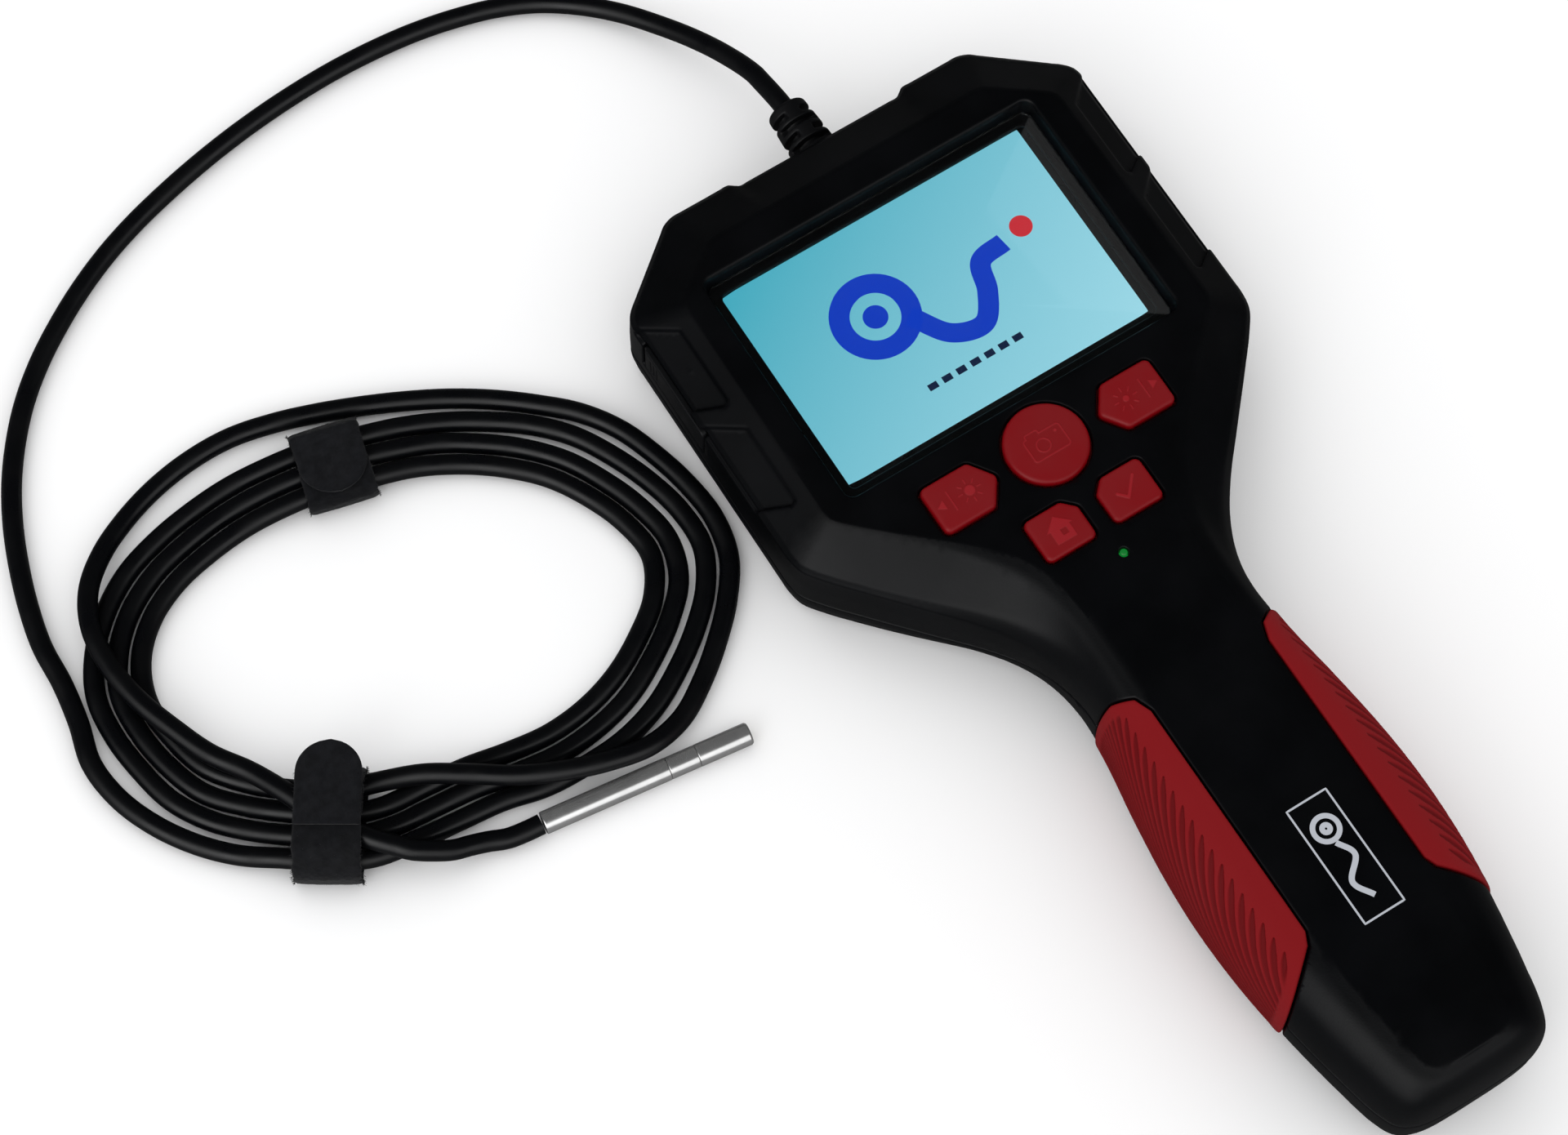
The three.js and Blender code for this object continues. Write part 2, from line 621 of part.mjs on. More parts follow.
function makeCable() {
  const inboard = new THREE.CylinderGeometry(CABLE_R, CABLE_R, RELIEF_END_Y - 42.3, 10);
  inboard.translate(0, (RELIEF_END_Y + 42.3) / 2, CABLE_EXIT_Z);
  blackRubber("cable_inboard", inboard);
  add("cable_plug", boxGeometry(-4.5, 4.5, 38.4, 42, 11.5, 18.5), 0xd8d4c4, 0.5);
  const run = [...freeRun(), ...COIL_RUN.map(([angle, lateral, z]) => beside(angle, lateral, z))];
  blackRubber("cable_coil", cableGeometry(run, 9.5));
  blackRubber("cable_tail", cableGeometry(tailRun(), 4));
}

function makeStrainRelief() {
  const bore = CABLE_R + GAP;
  const steps = [
    [42.6, bore], [42.6, 6.6], [44.3, 6.6], [44.3, 4.9], [47.9, 4.9], [47.9, 5.3], [50.7, 5.2],
    [50.7, 4], [52.1, 4], [52.1, 4.9], [54.8, 4.8], [54.8, 3.7], [56, 3.7], [56, 4.5], [58.4, 4.4],
    [58.4, 3.4], [RELIEF_END_Y - 0.2, 3.3], [RELIEF_END_Y - 0.2, bore], [42.6, bore],
  ];
  const geometry = new THREE.LatheGeometry(steps.map(([y, r]) => new THREE.Vector2(r, y)), 16);
  blackRubber("strain_relief", geometry.translate(0, 0, CABLE_EXIT_Z));
}

// Camera head: a steel sleeve, a joint ring, the front sleeve, its lens and light ring.
function makeProbe() {
  const heading = PROBE_HEADING;
  const [x, y, z] = PROBE_START;
  const start = [x + 0.4 * Math.cos(heading), y + 0.4 * Math.sin(heading), z];
  const rod = (from, to, r, sides) =>
    rodGeometry(start, heading, [[from, 0], [from, r], [to, r], [to, 0]], sides);
  steel("probe_sleeve", rod(0, 28, PROBE_R, 20));
  steel("probe_ring", rod(28.2, 34.6, PROBE_R - 0.06, 20));
  steel("probe_tip", rodGeometry(
    start, heading,
    [[34.8, 0], [34.8, PROBE_R], [46.2, PROBE_R], [46.6, PROBE_R - 0.3], [46.6, 2], [45.6, 2], [45.6, 0]],
    20,
  ));
  add("probe_lens", rod(45.8, 46.4, 0.8, 12), 0x101820, 0.05);
  const ring = [[45.8, 1], [45.8, 1.8], [46.3, 1.8], [46.3, 1], [45.8, 1]];
  add("probe_light_ring", rodGeometry(start, heading, ring, 16), 0xf4f2dc, 0.3);
}

// --- hook-and-loop ties -----------------------------------------------------------------

// Places a shape drawn as (distance outside the middle line, height) across the coil.
function acrossCoil(shape, angle, width) {
  const normal = coilNormal(angle);
  const up = new THREE.Vector3(0, 0, 1);
  const along = new THREE.Vector3().crossVectors(normal, up);
  const geometry = new THREE.ExtrudeGeometry(shape, {
    depth: width,
    bevelEnabled: false,
    curveSegments: 3,
  });
  geometry.translate(0, 0, -width / 2);
  const place = new THREE.Matrix4().makeBasis(normal, up, along).setPosition(coilPoint(angle));
  return geometry.applyMatrix4(place);
}

function bandSection(inner, outer) {
  const shape = shapeOf(outer);
  shape.holes.push(shapeOf(inner));
  return shape;
}

// Section of a band: flat underside, lower corners, shoulders and a flat top.
function bandOutline(halfWidth, topHalf, floor, waist, top) {
  return [
    [-halfWidth + 1.6, floor], [halfWidth - 1.6, floor], [halfWidth, floor + 1.6], [halfWidth, waist],
    [topHalf, top], [-topHalf, top], [-halfWidth, waist], [-halfWidth, floor + 1.6],
  ];
}

// Tongue lying flat: straight from the root, then a half-round end, drawn in plan
// as (distance outside the middle line, distance along).
function tongue(root, reach, halfWidth) {
  const shape = new THREE.Shape();
  const towards = Math.sign(reach - root);
  const centre = reach - towards * halfWidth;
  shape.moveTo(root, -halfWidth);
  shape.lineTo(centre, -halfWidth);
  shape.absarc(centre, 0, halfWidth, -Math.PI / 2, Math.PI / 2, towards < 0);
  shape.lineTo(root, halfWidth);
  return shape;
}

function flatOnCoil(shape, angle, z, thickness) {
  const normal = coilNormal(angle);
  const up = new THREE.Vector3(0, 0, 1);
  const along = new THREE.Vector3().crossVectors(up, normal);
  const geometry = prismGeometry(shape, z, z + thickness, 8);
  const place = new THREE.Matrix4().makeBasis(normal, along, up).setPosition(coilPoint(angle));
  return geometry.applyMatrix4(place);
}

function makeTies() {
  const one = bandSection(bandOutline(8.3, 6.6, 1.15, 4.6, 6.25), bandOutline(9.3, 7.2, 0.15, 5, 7.25));
  fabric("tie_1", acrossCoil(one, TIE_1_ANGLE, 15));
  fabric("tie_1_tab", flatOnCoil(tongue(6.8, -7.8, 7.4), TIE_1_ANGLE, 7.55, TIE_T));
  const two = bandSection(
    bandOutline(11.2, 6.8, 1.15, 6.4, 11.1),
    bandOutline(12.2, 7.3, 0.15, 6.9, 12.1),
  );
  fabric("tie_2", acrossCoil(two, TIE_2_ANGLE, 14));
  fabric("tie_2_tab", flatOnCoil(tongue(2.4, -15.6, 6.9), TIE_2_ANGLE, 12.4, TIE_T));
}

makeFrontShell();
makeRearShell();
makeScrews();
makeGrips();
makeKeys();
makeDisplay();
makeBoard();
makeBattery();
makePortCover();
makeStrainRelief();
makeCable();
makeProbe();
makeTies();

export default group;
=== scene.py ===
"""Looks of the handheld inspection camera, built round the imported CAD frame."""

import json
import math

import bpy
import numpy as np
import openvdb as vdb
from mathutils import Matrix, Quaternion, Vector


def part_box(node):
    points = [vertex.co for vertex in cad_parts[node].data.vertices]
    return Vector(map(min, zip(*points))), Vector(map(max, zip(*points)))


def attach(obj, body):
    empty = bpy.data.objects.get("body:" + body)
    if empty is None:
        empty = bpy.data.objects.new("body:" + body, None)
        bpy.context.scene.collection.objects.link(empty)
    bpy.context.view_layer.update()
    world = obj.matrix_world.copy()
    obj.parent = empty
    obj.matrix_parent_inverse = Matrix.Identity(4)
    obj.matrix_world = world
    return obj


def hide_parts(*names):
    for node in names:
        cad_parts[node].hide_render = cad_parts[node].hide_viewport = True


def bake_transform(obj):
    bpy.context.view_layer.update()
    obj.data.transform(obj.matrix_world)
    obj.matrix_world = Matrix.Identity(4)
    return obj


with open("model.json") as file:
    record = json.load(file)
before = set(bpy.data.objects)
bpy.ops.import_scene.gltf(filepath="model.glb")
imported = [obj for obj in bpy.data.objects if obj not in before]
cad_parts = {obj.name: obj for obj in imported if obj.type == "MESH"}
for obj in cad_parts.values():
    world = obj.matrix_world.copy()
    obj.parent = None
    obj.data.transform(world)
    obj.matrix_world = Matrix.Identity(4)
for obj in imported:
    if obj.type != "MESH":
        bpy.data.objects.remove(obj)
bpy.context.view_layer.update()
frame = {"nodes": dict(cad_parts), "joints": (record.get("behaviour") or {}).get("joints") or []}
NODES = frame["nodes"]
MM = 0.001
EAST, NORTH, UP = np.eye(3)
COARSE = 1.0
rng = np.random.default_rng(7)


# ---------------------------------------------------------------- mesh helpers

def new_object(name, points, faces, materials, normals=None):
    """A smooth-shaded object from points in millimetres."""
    mesh = bpy.data.meshes.new(name)
    mesh.from_pydata((np.asarray(points, float) * MM).tolist(), [], faces)
    mesh.validate()
    mesh.polygons.foreach_set("use_smooth", [True] * len(mesh.polygons))
    for material in materials if isinstance(materials, list) else [materials]:
        mesh.materials.append(material)
    if normals is not None and len(normals) == len(mesh.vertices):
        mesh.normals_split_custom_set_from_vertices(normals.tolist())
    mesh.update()
    obj = bpy.data.objects.new(name, mesh)
    bpy.context.scene.collection.objects.link(obj)
    return obj


def point_attribute(obj, name, values):
    attribute = obj.data.attributes.new(name, "FLOAT", "POINT")
    attribute.data.foreach_set("value", np.asarray(values, np.float32))


def place(obj, body, slot, *nodes):
    """Fixes a piece to a body; it takes over from the CAD nodes named. The slot argument is not used."""
    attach(obj, body)
    if nodes:
        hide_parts(*nodes)


def place_between(obj, node):
    """Bakes a soft piece's placement into its mesh; it takes over from the CAD node named."""
    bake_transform(obj)
    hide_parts(node)


def box_of(node):
    """The two corners of a CAD node's box, in millimetres."""
    return [np.array(corner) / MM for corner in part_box(node)]


# ---------------------------------------------------------------- distance fields

class Block:
    """A box of grid points, in millimetres, that distance fields are drawn on."""

    def __init__(self, low, high, step):
        self.step = step
        self.low = np.array(low, float)
        count = np.ceil((np.array(high, float) - self.low) / step).astype(int) + 1
        self.x, self.y, self.z = (
            (self.low[k] + step * np.arange(count[k], dtype=np.float32)) for k in range(3)
        )
        self.X = self.x[:, None, None].astype(np.float32)
        self.Y = self.y[None, :, None].astype(np.float32)
        self.Z = self.z[None, None, :].astype(np.float32)


def sample(field, block, points):
    """Trilinear value of a field at points."""
    at = (points - block.low) / block.step
    top = np.array(field.shape) - 1.001
    at = np.clip(at, 0, top)
    cell = at.astype(int)
    t = at - cell
    total = np.zeros(len(points))
    for dx in (0, 1):
        for dy in (0, 1):
            for dz in (0, 1):
                weight = (
                    (t[:, 0] if dx else 1 - t[:, 0])
                    * (t[:, 1] if dy else 1 - t[:, 1])
                    * (t[:, 2] if dz else 1 - t[:, 2])
                )
                total += weight * field[cell[:, 0] + dx, cell[:, 1] + dy, cell[:, 2] + dz]
    return total


def field_mesh(field, block, adaptivity=0.0):
    """(points, faces, normals) of the surface where a field is zero."""
    band = 3 * block.step
    field = np.clip(field, -band, band).astype(np.float32)
    grid = vdb.FloatGrid(band)
    grid.copyFromArray(field, tolerance=0.0)
    points, triangles, quads = grid.convertToPolygons(isovalue=0.0, adaptivity=adaptivity)
    points = points.astype(float) * block.step + block.low
    faces = [list(map(int, f)) for f in triangles] + [list(map(int, f)) for f in quads]
    normals = np.zeros((len(points), 3))
    reach = 0.6 * block.step
    for axis in range(3):
        shift = np.zeros(3)
        shift[axis] = reach
        normals[:, axis] = sample(field, block, points + shift) - sample(field, block, points - shift)
    normals /= np.maximum(np.linalg.norm(normals, axis=1), 1e-9)[:, None]
    face = faces[len(faces) // 2]
    across = np.cross(points[face[1]] - points[face[0]], points[face[2]] - points[face[1]])
    if np.dot(across, normals[face[0]]) < 0:
        faces = [f[::-1] for f in faces]
    return points, faces, normals


def field_piece(name, field, block, material, adaptivity=0.0):
    points, faces, normals = field_mesh(field, block, adaptivity)
    return new_object(name, points, faces, material, normals)


def smax(a, b, k):
    """Larger of two fields, with the edge between them rounded over about k."""
    h = np.clip(0.5 + 0.5 * (a - b) / k, 0, 1)
    return a * h + b * (1 - h) + k * h * (1 - h)


def sd_box(u, v, half_u, half_v, r=0.0):
    """Rounded rectangle."""
    qu = np.abs(u) - half_u + r
    qv = np.abs(v) - half_v + r
    outside = np.hypot(np.maximum(qu, 0), np.maximum(qv, 0))
    return outside + np.minimum(np.maximum(qu, qv), 0) - r


def sd_segment(u, v, a, b):
    """Distance to the line from a to b."""
    pu, pv = u - a[0], v - a[1]
    du, dv = b[0] - a[0], b[1] - a[1]
    t = np.clip((pu * du + pv * dv) / (du * du + dv * dv), 0, 1)
    return np.hypot(pu - t * du, pv - t * dv)


def sd_polygon(u, v, corners, r=0.0):
    """Signed distance to a polygon, its corners rounded to r."""
    if r:
        corners = inset_polygon(corners, r)
    distance = np.full(np.broadcast(u, v).shape, 1e9, np.float32)
    inside = np.zeros(distance.shape, bool)
    for (ax, ay), (bx, by) in zip(corners, corners[1:] + corners[:1]):
        distance = np.minimum(distance, sd_segment(u, v, (ax, ay), (bx, by)))
        crosses = (ay > v) != (by > v)
        if ay != by:
            inside ^= crosses & (u < (bx - ax) * (v - ay) / (by - ay) + ax)
    return np.where(inside, -distance, distance) - r


def inset_polygon(corners, r):
    """A convex polygon moved inwards by r."""
    area = sum(a[0] * b[1] - a[1] * b[0] for a, b in zip(corners, corners[1:] + corners[:1]))
    turn = 1 if area > 0 else -1
    moved = []
    for i, p in enumerate(corners):
        before, after = np.array(corners[i - 1]), np.array(corners[(i + 1) % len(corners)])
        p = np.array(p, float)
        d0 = (p - before) / np.linalg.norm(p - before)
        d1 = (after - p) / np.linalg.norm(after - p)
        n0, n1 = turn * np.array([-d0[1], d0[0]]), turn * np.array([-d1[1], d1[0]])
        mid = n0 + n1
        moved.append(tuple(p + mid * (r / max(np.dot(mid, n0), 0.2))))
    return moved


# ---------------------------------------------------------------- housing skin

# Right half of the plan from the top centre to the bottom centre, as in the CAD part:
# the widest outline (rim) and the edge of the front face (crest), point for point.
RIM = [
    (0, 47.4), (20, 47.4), (22, 48.9), (36, 48.9), (38.6, 48), (54.6, 35),
    (56.2, 33), (56.8, 30.4), (56.8, 10), (56.8, -12), (56.8, -30), (56, -34.2),
    (53, -38.6), (47, -45.6), (38.4, -55.4), (31, -64), (26, -71.4), (22.8, -79),
    (21.4, -88), (22.2, -98), (24.6, -112), (26.4, -126), (27, -138), (26.4, -152),
    (24.6, -166), (22, -180), (19.8, -189), (17.6, -193.2), (13.4, -195.4), (0, -196.2),
]
CREST = [
    (0, 35.7), (19, 35.7), (21, 35.7), (31, 35.7), (34, 35.2), (44.6, 27.4),
    (45.8, 26), (46.3, 23.6), (46.4, 8), (46.6, -12), (46.8, -28), (46.2, -30.6),
    (42.6, -34.6), (37, -39.8), (29.6, -46.4), (23, -52.8), (18.4, -58.2), (15.6, -64.4),
    (14.2, -74), (13.9, -92), (14, -110), (14.1, -124), (14.2, -138), (14, -152),
    (13, -166), (11.6, -178), (10.4, -186), (9.2, -188.6), (7, -190), (0, -190.4),
]
# Height stations: (share of the way from rim to crest, z).
HEAD_SECTION = [
    (0.24, 0), (0.06, 2.2), (0, 6), (0, 15), (0.02, 21.9), (0.11, 23.4), (0.93, 30.1), (1, 30.5),
]
HANDLE_SECTION = [
    (0.8, 0), (0.34, 2), (0.09, 6.6), (0, 13.5), (0.05, 20.5), (0.24, 26), (0.6, 29.7), (1, 31.4),
]
HANDLE_CROWN = 0.45
GRID = 0.34
FINE_GRID = 0.13
COVER_ADAPTIVITY = 0.01
GAP = 0.3
WALL = 2.6
WALL_EXTRA_IN_HANDLE = 1.0
WALL_MOST = 3.2
POCKET_DEPTH = 1.8
GRIP_PROUD = 0.5
GROOVE_PITCH = 3.55
GROOVE_DEPTH = 0.42
GROOVE_HALF_WIDTH = 0.66
KEY_HOLE_GAP = 0.42
KEY_TOP = 32.1
KEY_UNDERSIDE = 26.4
MARK_HEIGHT = 0.16
INK_T = 0.02


def smoothstep(x, a, b):
    t = np.clip((x - a) / (b - a), 0, 1)
    return t * t * (3 - 2 * t)


def handle_share(y):
    """0 on the head, 1 on the handle, and between the two on the neck."""
    return smoothstep(-y, 44, 96)


def curve_point(points, i, t):
    """Centripetal Catmull-Rom through points, on the stretch from i to i + 1."""
    p = [np.array(points[k], float) for k in (i - 1, i, i + 1, i + 2)]
    knots = [0.0]
    for a, b in zip(p, p[1:]):
        knots.append(knots[-1] + max(np.linalg.norm(b - a) ** 0.5, 1e-4))
    x = knots[1] + t * (knots[2] - knots[1])

    def mix(a, b, ka, kb):
        return a * ((kb - x) / (kb - ka)) + b * ((x - ka) / (kb - ka))

    a = [mix(p[k], p[k + 1], knots[k], knots[k + 1]) for k in range(3)]
    b = [mix(a[k], a[k + 1], knots[k], knots[k + 2]) for k in range(2)]
    return mix(b[0], b[1], knots[1], knots[2])


def dense_outlines(step):
    """Rim and crest with many matched points: crisp on the head, flowing on the handle."""
    rim, crest = [RIM[0]], [CREST[0]]
    for (r0, r1), (c0, c1) in zip(zip(RIM, RIM[1:]), zip(CREST, CREST[1:])):
        length = math.dist(r0, r1)
        if length > 6 and (r0[1] + r1[1]) / 2 > -32:
            for t in (2 / length, 1 - 2 / length):
                rim.append(tuple(np.array(r0) * (1 - t) + np.array(r1) * t))
                crest.append(tuple(np.array(c0) * (1 - t) + np.array(c1) * t))
        rim.append(r1)
        crest.append(c1)
    made = [[], []]
    for out, half in zip(made, (rim, crest)):
        ext = [(-half[1][0], half[1][1])] + half + [(-half[-2][0], half[-2][1])]
        for i in range(len(half) - 1):
            count = max(2, math.ceil(math.dist(rim[i], rim[i + 1]) / step))
            out.extend(curve_point(ext, i + 1, k / count) for k in range(count))
        out.append(np.array(half[-1], float))
    return np.array(made[0]), np.array(made[1])


def run_on(points):
    """The points with one more at each end, straight on."""
    before = 2 * np.array(points[0]) - points[1]
    after = 2 * np.array(points[-1]) - points[-2]
    return [tuple(before)] + points + [tuple(after)]


def dense_section(section, width, crisp):
    """Section stations with rounded corners; width turns a share into millimetres."""
    points = [(s * width, z) for s, z in section]
    full = [points[0]]
    marks = [0]
    for a, b in zip(points, points[1:]):
        length = math.dist(a, b)
        near = min(0.9 / length, 0.3) if crisp else 0.3
        for t in (near, 1 - near):
            full.append(tuple(np.array(a) * (1 - t) + np.array(b) * t) if crisp else None)
        full.append(b)
        marks.append(len(full) - 1)
    if not crisp:
        ext = run_on(points)
        for i in range(len(points) - 1):
            for k, t in enumerate((0.3, 0.7)):
                full[3 * i + 1 + k] = tuple(curve_point(ext, i + 1, t))
    ext = run_on(full)
    dense = [curve_point(ext, i + 1, k / 3) for i in range(len(full) - 1) for k in range(3)]
    dense.append(np.array(full[-1]))
    dense = np.array(dense)
    dense[:, 0] /= width
    return dense


def body_mesh():
    """The closed skin of the housing as (points, quads), in millimetres."""
    rim, crest = dense_outlines(1.3)
    head, handle = dense_section(HEAD_SECTION, 10, True), dense_section(HANDLE_SECTION, 13, False)
    half = len(rim)
    share = handle_share(rim[:, 1])
    rows = []
    for level in range(len(head)):
        s = head[level, 0] * (1 - share) + handle[level, 0] * share
        z = head[level, 1] * (1 - share) + handle[level, 1] * share
        xy = rim * (1 - s[:, None]) + crest * s[:, None]
        right = np.column_stack([xy, z])
        right[:, 2] = np.maximum(right[:, 2], 0)
        left = right[-2:0:-1] * np.array([-1, 1, 1])
        rows.append(np.vstack([right, left]))
    count = len(rows[0])
    points = list(np.vstack(rows))
    quads = []
    for level in range(len(rows) - 1):
        for i in range(count):
            a, b = level * count + i, level * count + (i + 1) % count
            quads.append((a, a + count, b + count, b))
    columns = 12
    for level, crown in ((0, 0.0), (len(rows) - 1, HANDLE_CROWN)):
        base = level * count
        lines = []
        for j in range(half):
            p = points[base + j]
            line = [base + j]
            for c in range(1, columns):
                u = 1 - 2 * c / columns
                points.append(np.array([p[0] * u, p[1], p[2] + crown * (1 - u * u) * share[j]]))
                line.append(len(points) - 1)
            line.append(base + (count - j) % count)
            lines.append(line)
        for a, b in zip(lines, lines[1:]):
            for c in range(columns):
                quad = (a[c], b[c], b[c + 1], a[c + 1])
                quads.append(quad if crown == 0.0 else quad[::-1])
    return np.array(points), quads


def body_field(block):
    """Signed distance to the skin, good to 3.6 mm either side."""
    points, quads = body_mesh()
    transform = vdb.createLinearTransform(voxelSize=block.step)
    reach = 3.6 / block.step
    grid = vdb.FloatGrid.createLevelSetFromPolygons(
        points.astype(np.float32) - block.low.astype(np.float32),
        quads=np.array(quads, np.uint32), transform=transform, halfWidth=reach,
    )
    field = np.empty((len(block.x), len(block.y), len(block.z)), np.float32)
    grid.copyToArray(field)
    return field


def top_z(x, y):
    """Height of the front face."""
    t = handle_share(y)
    z = 30.5 * (1 - t) + 31.4 * t
    return z + HANDLE_CROWN * t * np.clip(1 - (x / 14) ** 2, 0, 1)


# ---------------------------------------------------------------- plan shapes

def grip_plan(margin):
    """Corners of the right grip seen from the front, grown by margin."""
    m = margin
    return [
        (14.2 - m, -99.5), (14.2 - m, -153.4), (15.4 - m, -156 - m), (27, -166.6 - 1.3 * m),
        (40, -178.4 - 1.3 * m), (40, -91.6 + m), (19.4, -93.2 + m), (15.6 - 0.7 * m, -95.6 + 0.7 * m),
    ]


def pentagon(x, y, side):
    """Key shaped like a house on its side, its point towards the round key."""
    corners = [(-6.6, -5.7), (-6.6, 5.7), (5.2, 5.7), (9.2, 0), (5.2, -5.7)]
    return [(x + side * u, y + v) for u, v in corners]


def corner_key(x, y, side):
    """Near-square key with the corner next to the round key cut off."""
    corners = [(6, 5.2), (-3.2, 5.2), (-6, 2.4), (-6, -5.2), (6, -5.2)]
    return [(x + side * u, y + v) for u, v in corners]


def key_plan(name, u, v, grow=0.0):
    """Distance to a key's outline in plan."""
    x, y, side = KEY_PLACES[name]
    if name == "capture_key":
        return np.hypot(u - x, v - y) - 9.1 - grow
    if name in ("left_key", "right_key"):
        return sd_polygon(u, v, pentagon(x, y, side), 1.5) - grow
    return sd_polygon(u, v, corner_key(x, y, side), 1.5) - grow


KEY_PLACES = {
    "capture_key": (0, -40, 1),
    "left_key": (-21.6, -40.6, 1),
    "right_key": (21.6, -40.6, -1),
    "home_key": (-8.2, -57.4, -1),
    "confirm_key": (8.2, -57.4, 1),
}
SCREWS = [(-46.5, 32), (46.5, 32), (-48, -29), (48, -29), (0, -86), (0, -182)]
WINDOW_TOP = 26.9
WINDOW_T = 1.2
LEDGE_Z = WINDOW_TOP - WINDOW_T - GAP


def parting_z(y):
    """Height of the line where the two covers meet."""
    return 8.5 + 8 * smoothstep(-y, 56, 102)


def cut_in(field, block, low, high, tool, k):
    """Subtracts tool(X, Y, Z, part of field) inside a box of the block only."""
    start = np.maximum(np.floor((np.array(low) - block.low) / block.step).astype(int), 0)
    stop = np.minimum(np.ceil((np.array(high) - block.low) / block.step).astype(int) + 1, field.shape)
    part = tuple(slice(a, b) for a, b in zip(start, stop))
    X, Y, Z = block.X[part[0]], block.Y[:, part[1]], block.Z[:, :, part[2]]
    field[part] = smax(field[part], -tool(X, Y, Z, part), k)


def shell_blocks():
    block = Block((-60, -199.5, -2.4), (60, 52, 34.8), GRID * COARSE)
    return block, body_field(block)


def hollow_skin(block, skin):
    """Both covers in one piece: walls, the ledge under the window and the grip pockets."""
    wall = WALL + WALL_EXTRA_IN_HANDLE * handle_share(block.Y)
    shell = np.maximum(skin, -(skin + np.minimum(wall, WALL_MOST)))
    rib = np.maximum(sd_box(block.X, block.Y, 44, 29.5, 2), np.abs(block.Z - 26.6) - 2.2)
    shell = np.minimum(shell, np.maximum(rib, skin + 0.8))
    grip = sd_polygon(np.abs(block.X[:, :, 0]), block.Y[:, :, 0], grip_plan(GAP))[:, :, None]
    pocket = np.maximum(np.maximum(grip, 4.2 - block.Z), -(skin + POCKET_DEPTH))
    return smax(shell, -pocket, 0.35)


def cut_face(front, block):
    """Window seat, display opening, key holes and the status light's hole."""
    def window(X, Y, Z, part):
        spread = 0.1 * (Z - 27)
        return np.maximum(sd_box(X, Y, 40.5 + spread, 28.5 + spread, 2.2), LEDGE_Z - Z)

    def opening(X, Y, Z, part):
        return sd_box(X, Y, 37.8, 25.6, 1.2) + 0 * Z

    def key_hole(X, Y, Z, part):
        return key_plan(name, X[:, :, 0], Y[:, :, 0], KEY_HOLE_GAP)[:, :, None] + 0 * Z

    def light_hole(X, Y, Z, part):
        return np.hypot(X, Y + 68.4) - 1.05 + 0 * Z

    cut_in(front, block, (-44, -32, 23), (44, 32, 35), window, 0.7)
    cut_in(front, block, (-40, -28, 18), (40, 28, 30), opening, 0.3)
    for name, (x, y, _) in KEY_PLACES.items():
        cut_in(front, block, (x - 12, y - 12, 20), (x + 12, y + 12, 35), key_hole, 0.55)
    cut_in(front, block, (-3, -71, 20), (3, -65, 35), light_hole, 0.3)


def cut_bevels(front, block, skin):
    """Two shallow recesses in each side bevel of the head."""
    def recess(X, Y, Z, part):
        slot = sd_polygon(side * X[:, :, 0], Y[:, :, 0], plan, 0.8)[:, :, None]
        return smax(smax(slot, 20.8 - Z, 0.8), -(skin[part] + 0.9), 0.5)

    for side in (-1, 1):
        for dy in (0, -26.2):
            plan = [(49.6, 22.8 + dy), (49.6, 2.9 + dy), (62, 12.4 + dy), (62, 36 + dy)]
            low, high = sorted((side * 47, side * 60))
            cut_in(front, block, (low, dy - 1, 18), (high, dy + 38, 35), recess, 0.6)


def cut_ports(front, block):
    """Recess for the port cover, the two sockets' openings and the cable's hole."""
    def cover_seat(X, Y, Z, part):
        return np.maximum(sd_box(Y - 14.5, Z - 16.85, 12.3, 4.65, 0.5), X + 55.1)

    def socket_hole(X, Y, Z, part):
        half_y, half_z = (y1 - y0) / 2, (z1 - z0) / 2
        return sd_box(Y - (y0 + y1) / 2, Z - (z0 + z1) / 2, half_y, half_z, 0.3) + 0 * X

    def cable_hole(X, Y, Z, part):
        return np.hypot(X, Z - 15) - 5.3 + 0 * Y

    cut_in(front, block, (-60, 0, 10), (-53, 30, 24), cover_seat, 0.3)
    z0 = 16.6
    for y0, y1, z1 in ((3.6, 12.4, 20.6), (12.9, 25.6, 18.9)):
        cut_in(front, block, (-60, 0, 14), (-50, 30, 24), socket_hole, 0.2)
    cut_in(front, block, (-8, 42, 7), (8, 52, 23), cable_hole, 0.4)


def cut_screw_holes(rear, block):
    """A counterbore and a clearance hole for each rear screw."""
    def counterbore(X, Y, Z, part):
        return np.maximum(np.hypot(X - x, Y - y) - 3.1, Z - 2.6)

    def clearance(X, Y, Z, part):
        return np.hypot(X - x, Y - y) - 1.6 + 0 * Z

    for x, y in SCREWS:
        cut_in(rear, block, (x - 5, y - 5, -2), (x + 5, y + 5, 6), counterbore, 0.4)
        cut_in(rear, block, (x - 3, y - 3, -2), (x + 3, y + 3, 14), clearance, 0.2)


def build_shells(block, skin, material):
    """Front and rear covers: one hollow skin, parted, with every hole and recess cut in."""
    shell = hollow_skin(block, skin)
    parting = (block.Z - parting_z(block.Y)).astype(np.float32)
    front = smax(shell, 0.5 * GAP - parting, 0.4)
    cut_face(front, block)
    cut_bevels(front, block, skin)
    cut_ports(front, block)
    obj = field_piece("front_cover", front, block, material, COVER_ADAPTIVITY)
    place(obj, "housing", "black_plastic", "front_shell")
    del front

    rear = smax(shell, parting + 0.5 * GAP, 0.4)
    cut_screw_holes(rear, block)
    obj = field_piece("rear_cover", rear, block, material, COVER_ADAPTIVITY)
    place(obj, "housing", "black_plastic", "rear_shell")


